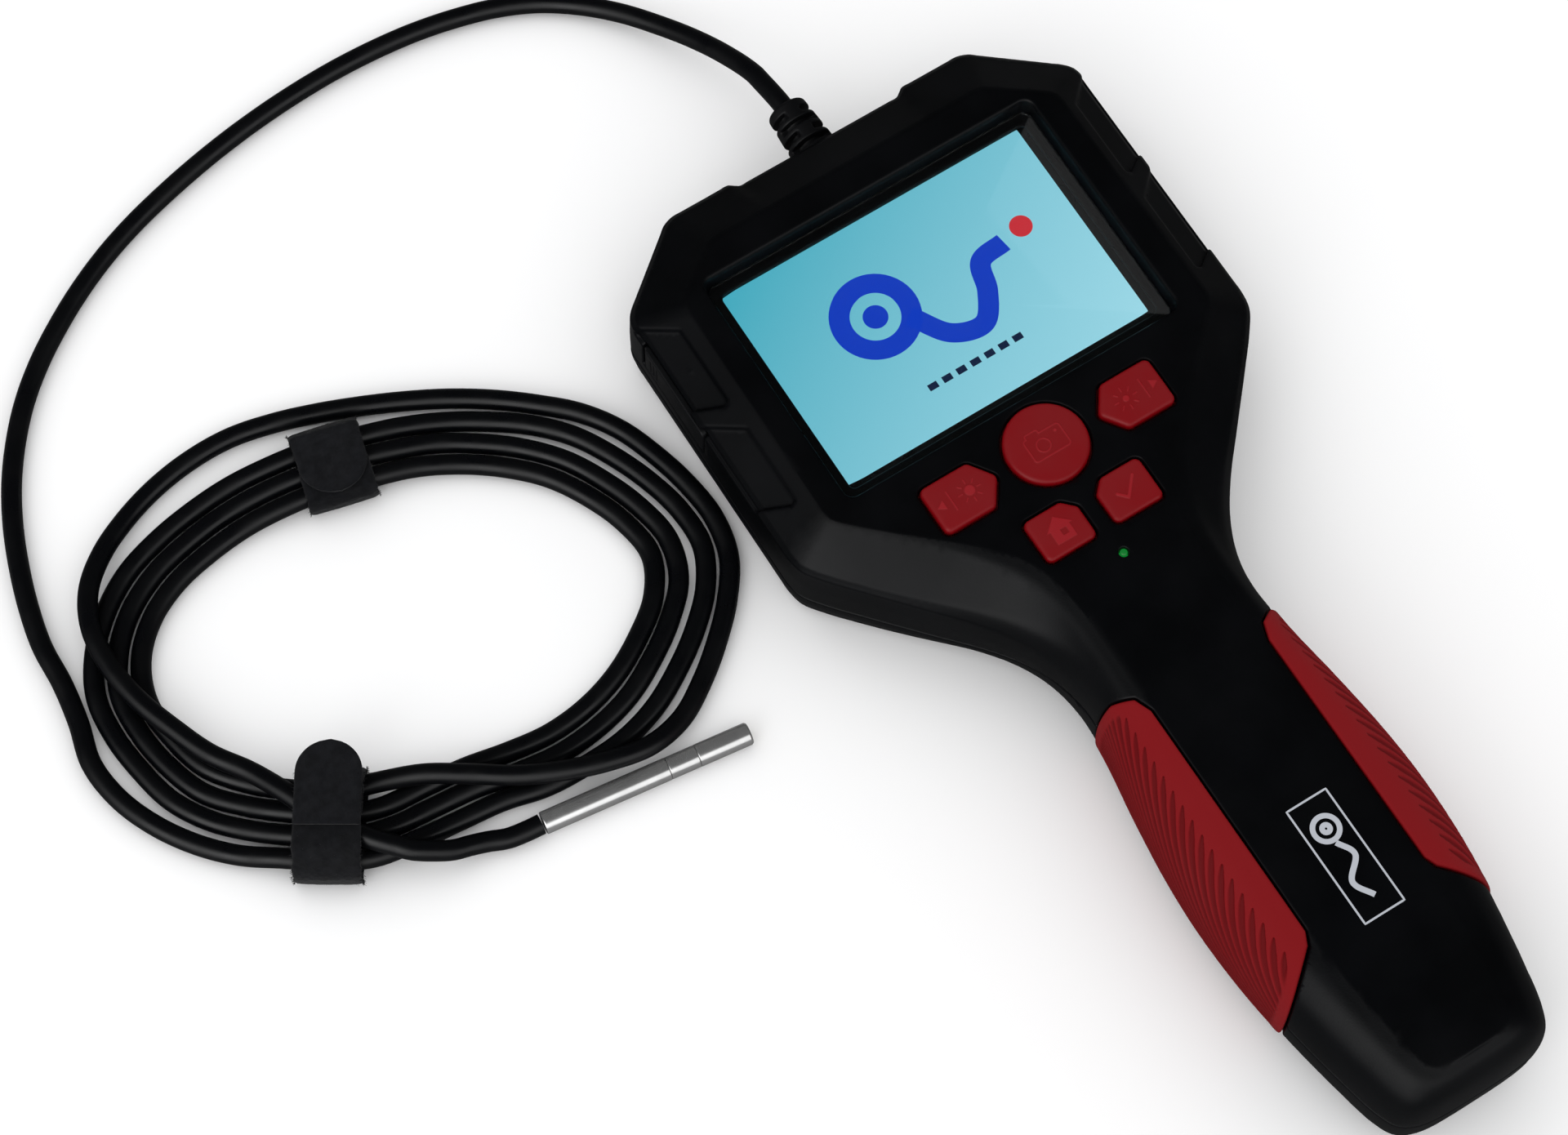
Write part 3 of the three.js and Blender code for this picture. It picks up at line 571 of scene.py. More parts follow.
def refine(field, block, low, high, factor):
    """A finer block and the field resampled on it."""
    fine = Block(low, high, block.step / factor)
    count = len(fine.x), len(fine.y), len(fine.z)
    out = np.empty(count, np.float32)
    yy, zz = np.meshgrid(fine.y, fine.z, indexing="ij")
    for i, x in enumerate(fine.x):
        points = np.column_stack([np.full(yy.size, x), yy.ravel(), zz.ravel()])
        out[i] = sample(field, block, points).reshape(yy.shape)
    return out, fine


def build_grips(block, skin, material):
    """Soft grips with rows of leaf-vein grooves that sweep down and outwards."""
    finer = 2
    field, fine = refine(skin, block, (11.4, -171, 2.4), (29.6, -90, 34), finer)
    X, Y, Z = fine.X, fine.Y, fine.Z
    plan = sd_polygon(X[:, :, 0], Y[:, :, 0], grip_plan(0))[:, :, None]
    around = 21.0 * (np.arctan2(14.2, 19.4) - np.arctan2(Z - 15.2, X))
    sweep = Y + 1.35 * around + 0.055 * np.maximum(around, 0) ** 2
    phase = (sweep / GROOVE_PITCH) - np.floor(sweep / GROOVE_PITCH) - 0.5
    slope = np.sqrt(1 + (1.35 + 0.11 * np.maximum(around, 0)) ** 2)
    across = np.abs(phase) * GROOVE_PITCH / slope
    start = np.sqrt(np.clip(around / 1.6, 0, 1))
    ends = smoothstep(-plan, 2.2, 3.2) * smoothstep(Z, 6.4, 7.8)
    width = GROOVE_HALF_WIDTH * start
    groove = np.clip(1.25 - 1.25 * (across / np.maximum(width, 1e-3)) ** 2, 0, 1) * ends
    groove = np.where(around > 0, groove, 0)
    outer = field - GRIP_PROUD + GROOVE_DEPTH * groove
    edge = smax(plan + 0.05, 4.5 - Z, 0.8)
    grip = smax(outer, edge, 1.1)
    grip = np.maximum(grip, -(field + 1.5))
    points, faces, normals = field_mesh(grip, fine)
    # Groove depth at each point. The grip material uses it to colour the grooves darker, which is painted
    # shade in the grooves.
    groove_shade = sample(groove + 0 * field, fine, points)
    for name, side in (("left_grip", -1), ("right_grip", 1)):
        turn = np.array([side, 1, 1])
        flipped = faces if side > 0 else [f[::-1] for f in faces]
        obj = new_object(name + "_pad", points * turn, flipped, material, normals * turn)
        point_attribute(obj, "groove", groove_shade)
        place(obj, "housing", "red_grip_rubber", name)


# ---------------------------------------------------------------- keys

def icon(name, u, v):
    """Raised mark on each key, as a distance in the key's own plane."""
    if name == "capture_key":
        body = sd_box(u, v + 0.2, 4.3, 2.7, 0.7)
        hump = sd_box(u + 1.9, v - 2.5, 1.5, 0.9, 0.4)
        outline = np.abs(np.minimum(body, hump)) - 0.14
        lens = np.abs(np.hypot(u + 0.9, v + 0.3) - 1.5) - 0.14
        return np.minimum(np.minimum(outline, lens), np.hypot(u - 2.9, v - 1.3) - 0.35)
    if name in ("left_key", "right_key"):
        side = 1 if name == "left_key" else -1
        w = side * u
        arrow = sd_polygon(w, v, [(-5.4, 0), (-3.6, 1.1), (-3.6, -1.1)])
        bar = sd_segment(w, v, (-2.0, 2.3), (-2.0, -2.3)) - 0.13
        sun = np.hypot(w - 2.4, v) - (1.15 if side > 0 else 0.7)
        angle = np.round(np.arctan2(v, w - 2.4) / (math.pi / 4)) * (math.pi / 4)
        along = (w - 2.4) * np.cos(angle) + v * np.sin(angle)
        aside = -(w - 2.4) * np.sin(angle) + v * np.cos(angle)
        rays = np.hypot(np.maximum(np.abs(along - 2.2) - 0.45, 0), aside) - 0.13
        return np.minimum(np.minimum(arrow, bar), np.minimum(sun, rays))
    if name == "home_key":
        roof = sd_polygon(u, v, [(-3.1, 0.2), (0, 3), (3.1, 0.2)])
        walls = sd_box(u, v + 1.3, 2.3, 1.6, 0.1)
        door = sd_box(u - 0.5, v + 0.9, 0.7, 0.7, 0.1)
        return np.maximum(np.minimum(roof, walls), -door)
    short = sd_segment(u, v, (-2.4, 0.1), (-0.7, -1.7))
    return np.minimum(short, sd_segment(u, v, (-0.7, -1.7), (2.6, 2.1))) - 0.33


def build_keys(material):
    """Crowned key caps with raised marks and a flange that keeps them in."""
    for name, (x, y, side) in KEY_PLACES.items():
        low, high = box_of(name)
        near = (low[0] - 0.8, low[1] - 0.8, 25.6)
        far = (high[0] + 0.8, high[1] + 0.8, 33)
        block = Block(near, far, 0.16 * COARSE)
        U, V = block.X[:, :, 0], block.Y[:, :, 0]
        plan = key_plan(name, U, V)
        mark = icon(name, U - x, V - y)
        raised = MARK_HEIGHT * np.clip(0.5 - mark / 0.22, 0, 1)
        crown = KEY_TOP - MARK_HEIGHT - 0.0052 * ((U - x) ** 2 + (V - y) ** 2) + raised
        cap = smax(plan[:, :, None] + 0 * block.Z, block.Z - crown[:, :, None], 1.3)
        cap = np.maximum(cap, KEY_UNDERSIDE - block.Z)
        flange = np.maximum(plan[:, :, None] - 0.9, np.abs(block.Z - 27) - 0.6)
        points, faces, normals = field_mesh(np.minimum(cap, flange), block)
        obj = new_object(name + "_cap", points, faces, material, normals)
        flat = icon(name, points[:, 0] - x, points[:, 1] - y)
        on_top = np.clip((points[:, 2] - 31) / 0.4, 0, 1)
        point_attribute(obj, "mark", np.clip(0.5 - flat / 0.2, 0, 1) * on_top)
        place(obj, name + "_body", "red_key_plastic", name)


# ---------------------------------------------------------------- swept and lathed pieces

def circle(centre, radius, aside, up, sides):
    """Points round a circle in the plane of two directions."""
    turns = (2 * math.pi * k / sides for k in range(sides))
    return [centre + radius * (math.cos(t) * aside + math.sin(t) * up) for t in turns]


def tube_faces(rings, sides):
    """Quads between neighbouring rings of points, each ring closed."""
    faces = []
    for i in range(rings - 1):
        for k in range(sides):
            a, b = i * sides + k, i * sides + (k + 1) % sides
            faces.append((a, b, b + sides, a + sides))
    return faces


def sweep(centres, sides, radius):
    """(points, faces) of a closed tube along centres."""
    centres = np.asarray(centres, float)
    ahead = np.gradient(centres, axis=0)
    ahead /= np.linalg.norm(ahead, axis=1)[:, None]
    up = UP - ahead[0] * np.dot(UP, ahead[0])
    points = []
    for i, centre in enumerate(centres):
        up = up - ahead[i] * np.dot(up, ahead[i])
        up /= np.linalg.norm(up)
        points.extend(circle(centre, radius, np.cross(ahead[i], up), up, sides))
    faces = tube_faces(len(centres), sides)
    faces.append(tuple(range(sides))[::-1])
    last = (len(centres) - 1) * sides
    faces.append(tuple(range(last, last + sides)))
    return points, faces


def smooth_run(knots, step):
    """Evenly sampled centripetal curve through knots."""
    ext = run_on(knots)
    fine = [curve_point(ext, i + 1, k / 12) for i in range(len(knots) - 1) for k in range(12)]
    fine.append(np.array(knots[-1], float))
    fine = np.array(fine)
    travelled = np.concatenate([[0], np.cumsum(np.linalg.norm(np.diff(fine, axis=0), axis=1))])
    count = max(3, int(round(travelled[-1] / step)) + 1)
    at = np.linspace(0, travelled[-1], count)
    return np.column_stack([np.interp(at, travelled, fine[:, k]) for k in range(3)])


def lathe(name, profile, material, start, heading, sides):
    """Turned piece lying along heading in plan; profile is (along, radius), axis to axis."""
    direction = np.array([math.cos(heading), math.sin(heading), 0])
    aside = np.array([-math.sin(heading), math.cos(heading), 0])
    points, faces, along = [], [], []
    rings = []
    for s, r in profile:
        if r < 1e-6:
            rings.append([len(points)])
            points.append(start + s * direction)
            along.append(s)
            continue
        rings.append(list(range(len(points), len(points) + sides)))
        points.extend(circle(start + s * direction, r, aside, UP, sides))
        along.extend([s] * sides)
    for a, b in zip(rings, rings[1:]):
        for k in range(sides):
            a0, a1 = a[k % len(a)], a[(k + 1) % len(a)]
            b0, b1 = b[k % len(b)], b[(k + 1) % len(b)]
            faces.append(tuple(dict.fromkeys((a0, a1, b1, b0))))
    obj = new_object(name, points, faces, material)
    point_attribute(obj, "along", along)
    crease_by_angle(obj)
    return obj


def corner_arc(a, corner, b, steps):
    """Points of a small arc from a to b, in place of the corner between them."""
    shares = (k / steps for k in range(steps + 1))
    return [(1 - t) ** 2 * a + 2 * t * (1 - t) * corner + t * t * b for t in shares]


def rounded_profile(corners, r):
    """Profile with each inner corner turned into a small arc."""
    out = [corners[0]]
    for before, at, after in zip(corners, corners[1:], corners[2:]):
        at = np.array(at, float)
        to_before = np.array(before) - at
        to_after = np.array(after) - at
        reach = min(r, 0.45 * np.linalg.norm(to_before), 0.45 * np.linalg.norm(to_after))
        a = at + to_before / np.linalg.norm(to_before) * reach
        b = at + to_after / np.linalg.norm(to_after) * reach
        out.extend(map(tuple, corner_arc(a, at, b, 3)))
    out.append(corners[-1])
    return out


def crease_by_angle(obj, angle=40):
    bpy.context.view_layer.objects.active = obj
    with bpy.context.temp_override(active_object=obj, object=obj, selected_editable_objects=[obj]):
        bpy.ops.object.shade_smooth_by_angle(angle=math.radians(angle))


def plate(name, outline, z0, z1, edge, material, steps=3):
    """Flat plate with rolled edges; outline(inset) gives its plan as matched points."""
    rings = []
    for k in range(steps + 1):
        t = math.pi / 2 * k / steps
        rings.append((edge * (1 - math.sin(t)), z0 + edge * (1 - math.cos(t))))
    rings += [(inset, z1 + z0 - z) for inset, z in reversed(rings)]
    count = len(outline(0))
    points = [(x, y, z) for inset, z in rings for x, y in outline(inset)]
    faces = tube_faces(len(rings), count)
    for level, turn in ((0, -1), (len(rings) - 1, 1)):
        centre = len(points)
        ring = np.array(points[level * count:(level + 1) * count])
        points.append(tuple(ring.mean(0)))
        for i in range(count):
            a, b = level * count + i, level * count + (i + 1) % count
            faces.append((centre, a, b)[::turn])
    obj = new_object(name, points, faces, material)
    crease_by_angle(obj)
    return obj


def rounded_rectangle(half_x, half_y, r, steps=6):
    """An outline for plate, centred on the origin."""
    def outline(inset):
        hx, hy, rr = half_x - inset, half_y - inset, max(r - inset, 0.05)
        points = []
        for quarter, (sx, sy) in enumerate(((1, 1), (-1, 1), (-1, -1), (1, -1))):
            for k in range(steps + 1):
                turn = math.pi / 2 * (quarter + k / steps)
                points.append((sx * (hx - rr) + rr * math.cos(turn), sy * (hy - rr) + rr * math.sin(turn)))
        return points
    return outline


def aside_of(run, closed):
    """Unit vectors to the left of a run of points, in its own plane."""
    if closed:
        ahead = np.roll(run, -1, axis=0) - np.roll(run, 1, axis=0)
    else:
        ahead = np.gradient(run, axis=0)
    ahead /= np.linalg.norm(ahead, axis=1)[:, None]
    return np.column_stack([-ahead[:, 1], ahead[:, 0]])


def ribbon(name, runs, width, height, material):
    """Flat ink or film strips: each run is (points, closed), lying at height(x, y)."""
    points, faces = [], []
    for run, closed in runs:
        run = np.asarray(run, float)
        base = len(points)
        for p, n in zip(run, aside_of(run, closed)):
            for shift, lift in ((-1, 0), (-1, 1), (1, 1), (1, 0)):
                q = p + n * shift * width / 2
                points.append((q[0], q[1], float(height(q[0], q[1])) + lift * INK_T))
        count = len(run)
        for i in range(count if closed else count - 1):
            a, b = base + 4 * i, base + 4 * ((i + 1) % count)
            for k in range(4):
                faces.append((a + k, b + k, b + (k + 1) % 4, a + (k + 1) % 4)[::-1])
        if not closed:
            faces.append((base, base + 1, base + 2, base + 3))
            end = base + 4 * (count - 1)
            faces.append((end + 3, end + 2, end + 1, end))
    obj = new_object(name, points, faces, material)
    crease_by_angle(obj)
    return obj


def ring_run(x, y, r, steps=48):
    turn = 2 * math.pi * np.arange(steps) / steps
    return np.column_stack([x + r * np.cos(turn), y + r * np.sin(turn)]), True


def line_run(corners, step=0.5, closed=False):
    """Straight-sided run with close points along it."""
    corners = [np.array(c, float) for c in corners]
    pairs = zip(corners, corners[1:] + corners[:1]) if closed else zip(corners, corners[1:])
    points = []
    for a, b in pairs:
        count = max(1, int(np.linalg.norm(b - a) / step))
        points.extend(a + (b - a) * k / count for k in range(count))
    if not closed:
        points.append(corners[-1])
    return np.array(points), closed


# ---------------------------------------------------------------- screen and print

PANEL_TOP = LEDGE_Z - 1 - GAP
SCREEN_W = 73.8
SCREEN_H = 49.6
SCREEN_AT = (-0.6, 0.8)


def build_display(m):
    """The clear window and the screen's module under it."""
    outline = rounded_rectangle(40.2, 28.2, 2.2)
    window = plate("screen_glass", outline, WINDOW_TOP - WINDOW_T, WINDOW_TOP, 0.25, m["glass"])
    place(window, "housing", "window_glass", "display_window")
    outline = rounded_rectangle(SCREEN_W / 2 + 4.5, SCREEN_H / 2 + 3, 0.8)
    module = plate("screen_module", outline, PANEL_TOP - 3, PANEL_TOP - 0.06, 0.3, m["module"])
    place(module, "housing", "screen", "display_panel")
    build_picture(m["screen"])
    build_screen_marks(m)


def build_picture(material):
    """The lit area, a flat grid that knows how far across and down each point is."""
    columns, rows = 24, 16
    middle_x, middle_y = SCREEN_AT
    points, fade, faces = [], [], []
    for j in range(rows + 1):
        for i in range(columns + 1):
            x = middle_x + SCREEN_W * (i / columns - 0.5)
            points.append((x, middle_y + SCREEN_H * (j / rows - 0.5), PANEL_TOP))
            fade.append(0.5 * (i / columns) + 0.5 * (1 - j / rows))
    for j in range(rows):
        for i in range(columns):
            a = j * (columns + 1) + i
            faces.append((a, a + 1, a + columns + 2, a + columns + 1))
    lit = new_object("screen_picture", points, faces, material)
    point_attribute(lit, "fade", fade)
    place(lit, "housing", "screen")


def screen_level(x, y):
    """Height of the marks on the screen, the same all over."""
    return PANEL_TOP + 0.03


def build_screen_marks(m):
    """A generic start picture: a lens ring with its cable, a spark and a row of dashes."""
    bends = [(-6.5, 1.5), (-1, -6.5), (6, -8.2), (10.5, -2.5), (13, 4), (19.5, 5.2)]
    wave = smooth_run([(x, y, 0) for x, y in bends], 0.5)[:, :2]
    dashes = [line_run([(x, -14.5), (x + 2.2, -14.5)]) for x in np.arange(-12, 12, 3.5)]
    marks = [
        ("screen_lens_ring", [ring_run(-12.5, 5, 7.6)], 4.4, "screen_blue"),
        ("screen_lens_dot", [ring_run(-12.5, 5, 1.35)], 2.7, "screen_blue"),
        ("screen_cable", [(wave, False)], 4.4, "screen_blue"),
        ("screen_spark", [ring_run(24.6, 6.4, 1.25)], 2.5, "screen_red"),
        ("screen_progress", dashes, 1.5, "screen_ink"),
    ]
    for name, runs, width, finish in marks:
        mark = ribbon(name, runs, width, screen_level, m[finish])
        place(mark, "housing", "screen")


def build_handle_print(material):
    """White outlined box on the handle with a lens ring and a cable inside."""
    x, y = 1.0, -145.0
    half_x, half_y = 4.7, 13.5
    corners = [(x + a * half_x, y + b * half_y) for a, b in ((-1, -1), (1, -1), (1, 1), (-1, 1))]
    box_run = line_run(corners, 0.4, True)
    bends = ((0, 3.2), (1.9, -0.6), (-1.9, -5.2), (0.4, -9.6))
    wave = smooth_run([(x + a, y + b, 0) for a, b in bends], 0.3)
    rings = [ring_run(x, y + 6.6, 2.7), ring_run(x, y + 6.6, 0.8)]
    for name, runs, width in (
        ("handle_print_box", [box_run], 0.42),
        ("handle_print_lens", rings, 1.1),
        ("handle_print_cable", [(wave[:, :2], False)], 1.2),
    ):
        place(ribbon(name, runs, width, top_z, material), "housing", "light_plastic")


# ---------------------------------------------------------------- cable

CABLE_R = 2.2
SLEEVE_BORE_R = 2.32
SLEEVE_SLOTS = (49.4, 52.0, 54.6, 57.2)
SLOT_WIDTH = 1.44
PROBE_START = np.array([-126.4, -46.6, 2.55])
PROBE_HEADING = math.atan2(-5.9, 46.2)
PROBE_R = 2.45
LED_CIRCLE_R = 1.4


def middle_line(node, start):
    """Centres of a tube-shaped CAD node's rings of vertices, from the end at start."""
    mesh = NODES[node].data
    co = np.array([v.co for v in mesh.vertices]) / MM
    _, first, inverse = np.unique(np.round(co, 3), axis=0, return_index=True, return_inverse=True)
    inverse = inverse.reshape(-1)
    spots = co[first]
    near = [set() for _ in spots]
    for edge in mesh.edges:
        a, b = inverse[edge.vertices[0]], inverse[edge.vertices[1]]
        near[a].add(b)
        near[b].add(a)
    layer = set(np.argsort(np.linalg.norm(spots - np.array(start), axis=1))[:8].tolist())
    seen = set(layer)
    centres = []
    while layer:
        centres.append(spots[sorted(layer)].mean(0))
        layer = {n for v in layer for n in near[v]} - seen
        seen |= layer
    return centres


def cable_piece(name, centres, sides, material):
    points, faces = sweep(centres, sides, CABLE_R)
    obj = new_object(name, points, faces, material)
    crease_by_angle(obj)
    return obj


def build_cable(m):
    """The cable in three runs along the CAD's middle line; its two bends are blended."""
    coil = middle_line("cable_coil", (0, 62.1, 15))
    tail = middle_line("cable_tail", PROBE_START)[::-1]
    sides = 24
    lead = smooth_run([(0, 46, 15), (0, 52, 15), (0, 58, 15)] + coil[:2], 0.8)
    obj = cable_piece("cable_lead", lead, sides, m["cable"])
    place_between(obj, "cable_inboard")

    run = smooth_run(coil, 1.3)
    run = run[np.linalg.norm(run - coil[1], axis=1).argmin():]
    obj = cable_piece("cable_coil_run", run, sides, m["cable"])
    place(obj, "coil", "black_rubber", "cable_coil")

    joined = smooth_run([(coil[-2] + coil[-1]) / 2, coil[-1]] + tail[1:], 0.8)
    obj = cable_piece("cable_head_end", joined, sides, m["cable"])
    place_between(obj, "cable_tail")


def build_strain_relief(m):
    """Moulded sleeve: solid rings joined by pairs of bridges, turned a quarter each time."""
    block = Block((-7.2, 41.8, 7.8), (7.2, 61.6, 22.2), FINE_GRID * COARSE)
    x, z = block.X, block.Z - 15
    r = np.hypot(x, z)
    taper = 5.4 - 0.062 * (block.Y - 46)
    sleeve = np.maximum(r - taper, np.abs(block.Y - 51.6) - 9)
    flange = np.maximum(r - 6.5, np.abs(block.Y - 43.4) - 0.75)
    slots = None
    for k, y in enumerate(SLEEVE_SLOTS):
        bridge = np.abs(x if k % 2 else z)
        core = 3.15 - 0.05 * k
        slot = smax(np.abs(block.Y - y) - SLOT_WIDTH / 2, core - r, 0.3)
        slot = smax(slot, 1.7 - bridge, 0.5)
        slots = slot if slots is None else np.minimum(slots, slot)
    solid = smax(sleeve, -slots, 0.45)
    nose = smax(solid, (block.Y - 60.6) + 0.35 * np.maximum(r - 3, 0), 0.7)
    solid = np.minimum(nose, flange)
    solid = smax(solid, SLEEVE_BORE_R - r, 0.25)
    obj = field_piece("cable_sleeve", solid, block, m["relief"])
    place_between(obj, "strain_relief")


# ---------------------------------------------------------------- hook-and-loop ties

TIES = {
    # node, peel joint, root of the tongue, its reach, its half-width, band corners, width
    "tie_1": ("tie_1_peel", 6.8, -7.8, 7.4, (9.3, 7.2, 0.15, 5.0, 7.25), 15),
    "tie_2": ("tie_2_peel", 2.4, -15.6, 6.9, (12.2, 7.3, 0.15, 6.9, 12.1), 14),
}
BAND_T = 1.0
BAND_CORNER = 1.9
FIBRES = {"tie_1": 160, "tie_2": 700}
FOLD_ROOM = 2.5
FIBRE_FLOOR = 0.05


def tie_frame(joint_name, root):
    """(point on the coil's middle line, outward direction, direction along the coil)."""
    joint = next(j for j in frame["joints"] if j["name"] == joint_name)
    along = np.array(joint["axis"], float)
    outward = np.array([along[1], -along[0], 0.0])
    origin = np.array(joint["pos_m"], float) / MM - root * outward
    origin[2] = 0
    return origin, outward, along


def band_path(half_width, top_half, floor, waist, top):
    """Section of a band as a soft closed line: (across, height)."""
    corners = [
        (-half_width + BAND_CORNER, floor), (half_width - BAND_CORNER, floor),
        (half_width, floor + BAND_CORNER), (half_width, waist), (top_half, top),
        (-top_half, top), (-half_width, waist), (-half_width, floor + BAND_CORNER),
    ]
    out = []
    for i, at in enumerate(corners):
        before = np.array(corners[i - 1], float)
        after = np.array(corners[(i + 1) % len(corners)], float)
        at = np.array(at, float)
        a, b = at + (before - at) * 0.32, at + (after - at) * 0.32
        out.extend(corner_arc(a, at, b, 8))
        steps = 6
        stop = after + (at - after) * 0.32
        out.extend(b + (stop - b) * k / steps for k in range(1, steps))
    return np.array(out)


def fabric_grid(surface_points, normals, thickness, pile):
    """Fabric sheet from a grid of middle points: two faces, rolled edges, uneven pile."""
    rows, columns = surface_points.shape[:2]
    wobble = rng.normal(0, pile, (rows, columns, 2))
    top = surface_points + normals * (thickness / 2 - wobble[:, :, :1] * 0.5)
    bottom = surface_points - normals * (thickness / 2 - np.abs(wobble[:, :, 1:]) * 0.3)
    edge = np.minimum(np.arange(columns), np.arange(columns)[::-1])
    squash = np.clip(edge / 2.0, 0, 1) ** 0.5
    middle = (top + bottom) / 2
    top = middle + (top - middle) * (0.35 + 0.65 * squash)[None, :, None]
    bottom = middle + (bottom - middle) * (0.35 + 0.65 * squash)[None, :, None]
    points = np.concatenate([top.reshape(-1, 3), bottom.reshape(-1, 3)])
    return points, rows, columns


def sheet_faces(rows, columns, closed):
    """Faces of a two-sided sheet whose rows may join up into a loop."""
    size = rows * columns
    faces = []
    last = rows if closed else rows - 1
    for i in range(last):
        j = (i + 1) % rows
        for k in range(columns - 1):
            a, b, c, d = i * columns + k, i * columns + k + 1, j * columns + k + 1, j * columns + k
            faces.append((a, b, c, d))
            faces.append((a + size, d + size, c + size, b + size))
        for k, flip in ((0, False), (columns - 1, True)):
            a, b = i * columns + k, j * columns + k
            side = (a, b, b + size, a + size)
            faces.append(side[::-1] if flip else side)
    if not closed:
        for i, flip in ((0, True), (rows - 1, False)):
            for k in range(columns - 1):
                a, b = i * columns + k, i * columns + k + 1
                side = (a, b, b + size, a + size)
                faces.append(side[::-1] if flip else side)
    return faces


def build_tie(name, m):
    """A band round the coil, its free tongue and its loose fibres."""
    joint_name, root, reach, half, corners, width = TIES[name]
    frame_of_tie = tie_frame(joint_name, root)
    path = band_path(*corners)
    out = -aside_of(path, True)
    path = path - out * BAND_T / 2
    build_band(name, frame_of_tie, path, out, width, m["fabric"])
    fold = (root, box_of(name + "_tab")[0][2] + 0.5)
    build_tongue(name, frame_of_tie, fold, reach, half, m["fabric_face"])
    fibres = fibre_roots(path, out, frame_of_tie, width, FIBRES[name], fold)
    fuzz(name + "_fuzz", fibres, m["fuzz"])


def build_band(name, frame_of_tie, path, out, width, material):
    """Fabric loop along path, sagging a little in the middle, with uneven edges."""
    origin, outward, along = frame_of_tie
    columns = 26
    across = np.linspace(-width / 2, width / 2, columns)
    sag = 0.25 * np.cos(math.pi * across / width)
    step = np.arange(len(path))
    stretch = 1 + (0.22 * np.sin(step * 0.55) + 0.12 * np.sin(step * 1.3)) / width
    grid = np.zeros((len(path), columns, 3))
    normal = np.zeros((len(path), columns, 3))
    for i, (p, n) in enumerate(zip(path, out)):
        direction = n[0] * outward + n[1] * UP
        for k, w in enumerate(across):
            grid[i, k] = origin + p[0] * outward + p[1] * UP + (w * stretch[i]) * along
            grid[i, k] -= direction * (0.18 - sag[k]) * 0.5
            normal[i, k] = direction
    points, rows, columns = fabric_grid(grid, normal, BAND_T * 0.9, 0.05)
    points[:, 2] = np.maximum(points[:, 2], 0.08)
    obj = new_object(name + "_band", points, sheet_faces(rows, columns, True), material)
    place(obj, "coil", "hook_loop_fabric", name)


def build_tongue(name, frame_of_tie, fold, reach, half, material):
    """Free end of a tie: it runs from its fold to its reach and ends in a half circle."""
    origin, outward, along = frame_of_tie
    root, height = fold
    towards = math.copysign(1, reach - root)
    length = abs(reach - root)
    rows, columns = ((44, 34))
    grid = np.zeros((rows, columns, 3))
    normal = np.zeros((rows, columns, 3))
    for i in range(rows):
        s = length * (i / (rows - 1))
        beyond = max(0.0, s - (length - half)) / half
        reach_half = half * math.sqrt(max(1 - beyond ** 2, 0.0016))
        for k, t in enumerate(np.linspace(-1, 1, columns)):
            lift = height + 0.16 * math.sin(3.1 * s / length) * (1 - 0.5 * t * t)
            lift += 0.10 * math.sin(1.7 * t + 0.35 * s)
            grid[i, k] = origin + (root + towards * s) * outward + t * reach_half * along + lift * UP
            normal[i, k] = UP
    points, rows, columns = fabric_grid(grid, normal, 0.86, 0.035)
    faces = sheet_faces(rows, columns, False)
    if towards > 0:
        faces = [f[::-1] for f in faces]
    tab = new_object(name + "_tongue", points, faces, material)
    place(tab, "tab_" + name[-1], "hook_loop_fabric", name + "_tab")


def fibre_roots(path, out, frame_of_tie, width, count, fold):
    """Roots and directions of a band's loose fibres, clear of the tongue's fold."""
    origin, outward, along = frame_of_tie
    roots, ways = [], []
    for _ in range(count):
        i = rng.integers(len(path))
        p, n = path[i], out[i]
        direction = n[0] * outward + n[1] * UP
        on_edge = rng.random() < 0.75
        w = rng.choice((-1, 1)) * width / 2 if on_edge else rng.uniform(-0.5, 0.5) * width
        root = origin + p[0] * outward + p[1] * UP + w * along + direction * 0.25
        way = direction * rng.uniform(0.2, 0.9) + rng.normal(0, 0.45, 3)
        if on_edge:
            way = way + along * math.copysign(0.8, w)
        if math.dist(p, fold) < FOLD_ROOM:
            continue
        roots.append(root)
        ways.append(way / np.linalg.norm(way))
    return roots, ways


def fuzz(name, roots_and_ways, material):
    """Short bent fibres, three-sided and tapering."""
    points, faces = [], []
    for root, way in zip(*roots_and_ways):
        length = rng.uniform(0.25, 0.7)
        bend = rng.normal(0, 0.35, 3)
        side = np.cross(way, (0.3, 0.5, 0.8))
        side /= np.linalg.norm(side)
        other = np.cross(way, side)
        base = len(points)
        for s, r in ((0, 0.055), (0.5, 0.045), (1, 0.012)):
            centre = root + way * length * s + bend * length * s * s * 0.6
            centre[2] = max(centre[2], 0.1)
            for point in circle(centre, r, side, other, 3):
                point[2] = max(point[2], FIBRE_FLOOR)
                points.append(point)
        faces.extend(tuple(base + corner for corner in face) for face in tube_faces(3, 3) + [(6, 7, 8)])
    obj = new_object(name, points, faces, material)
    place(obj, "coil", "hook_loop_fabric")


# ---------------------------------------------------------------- camera head

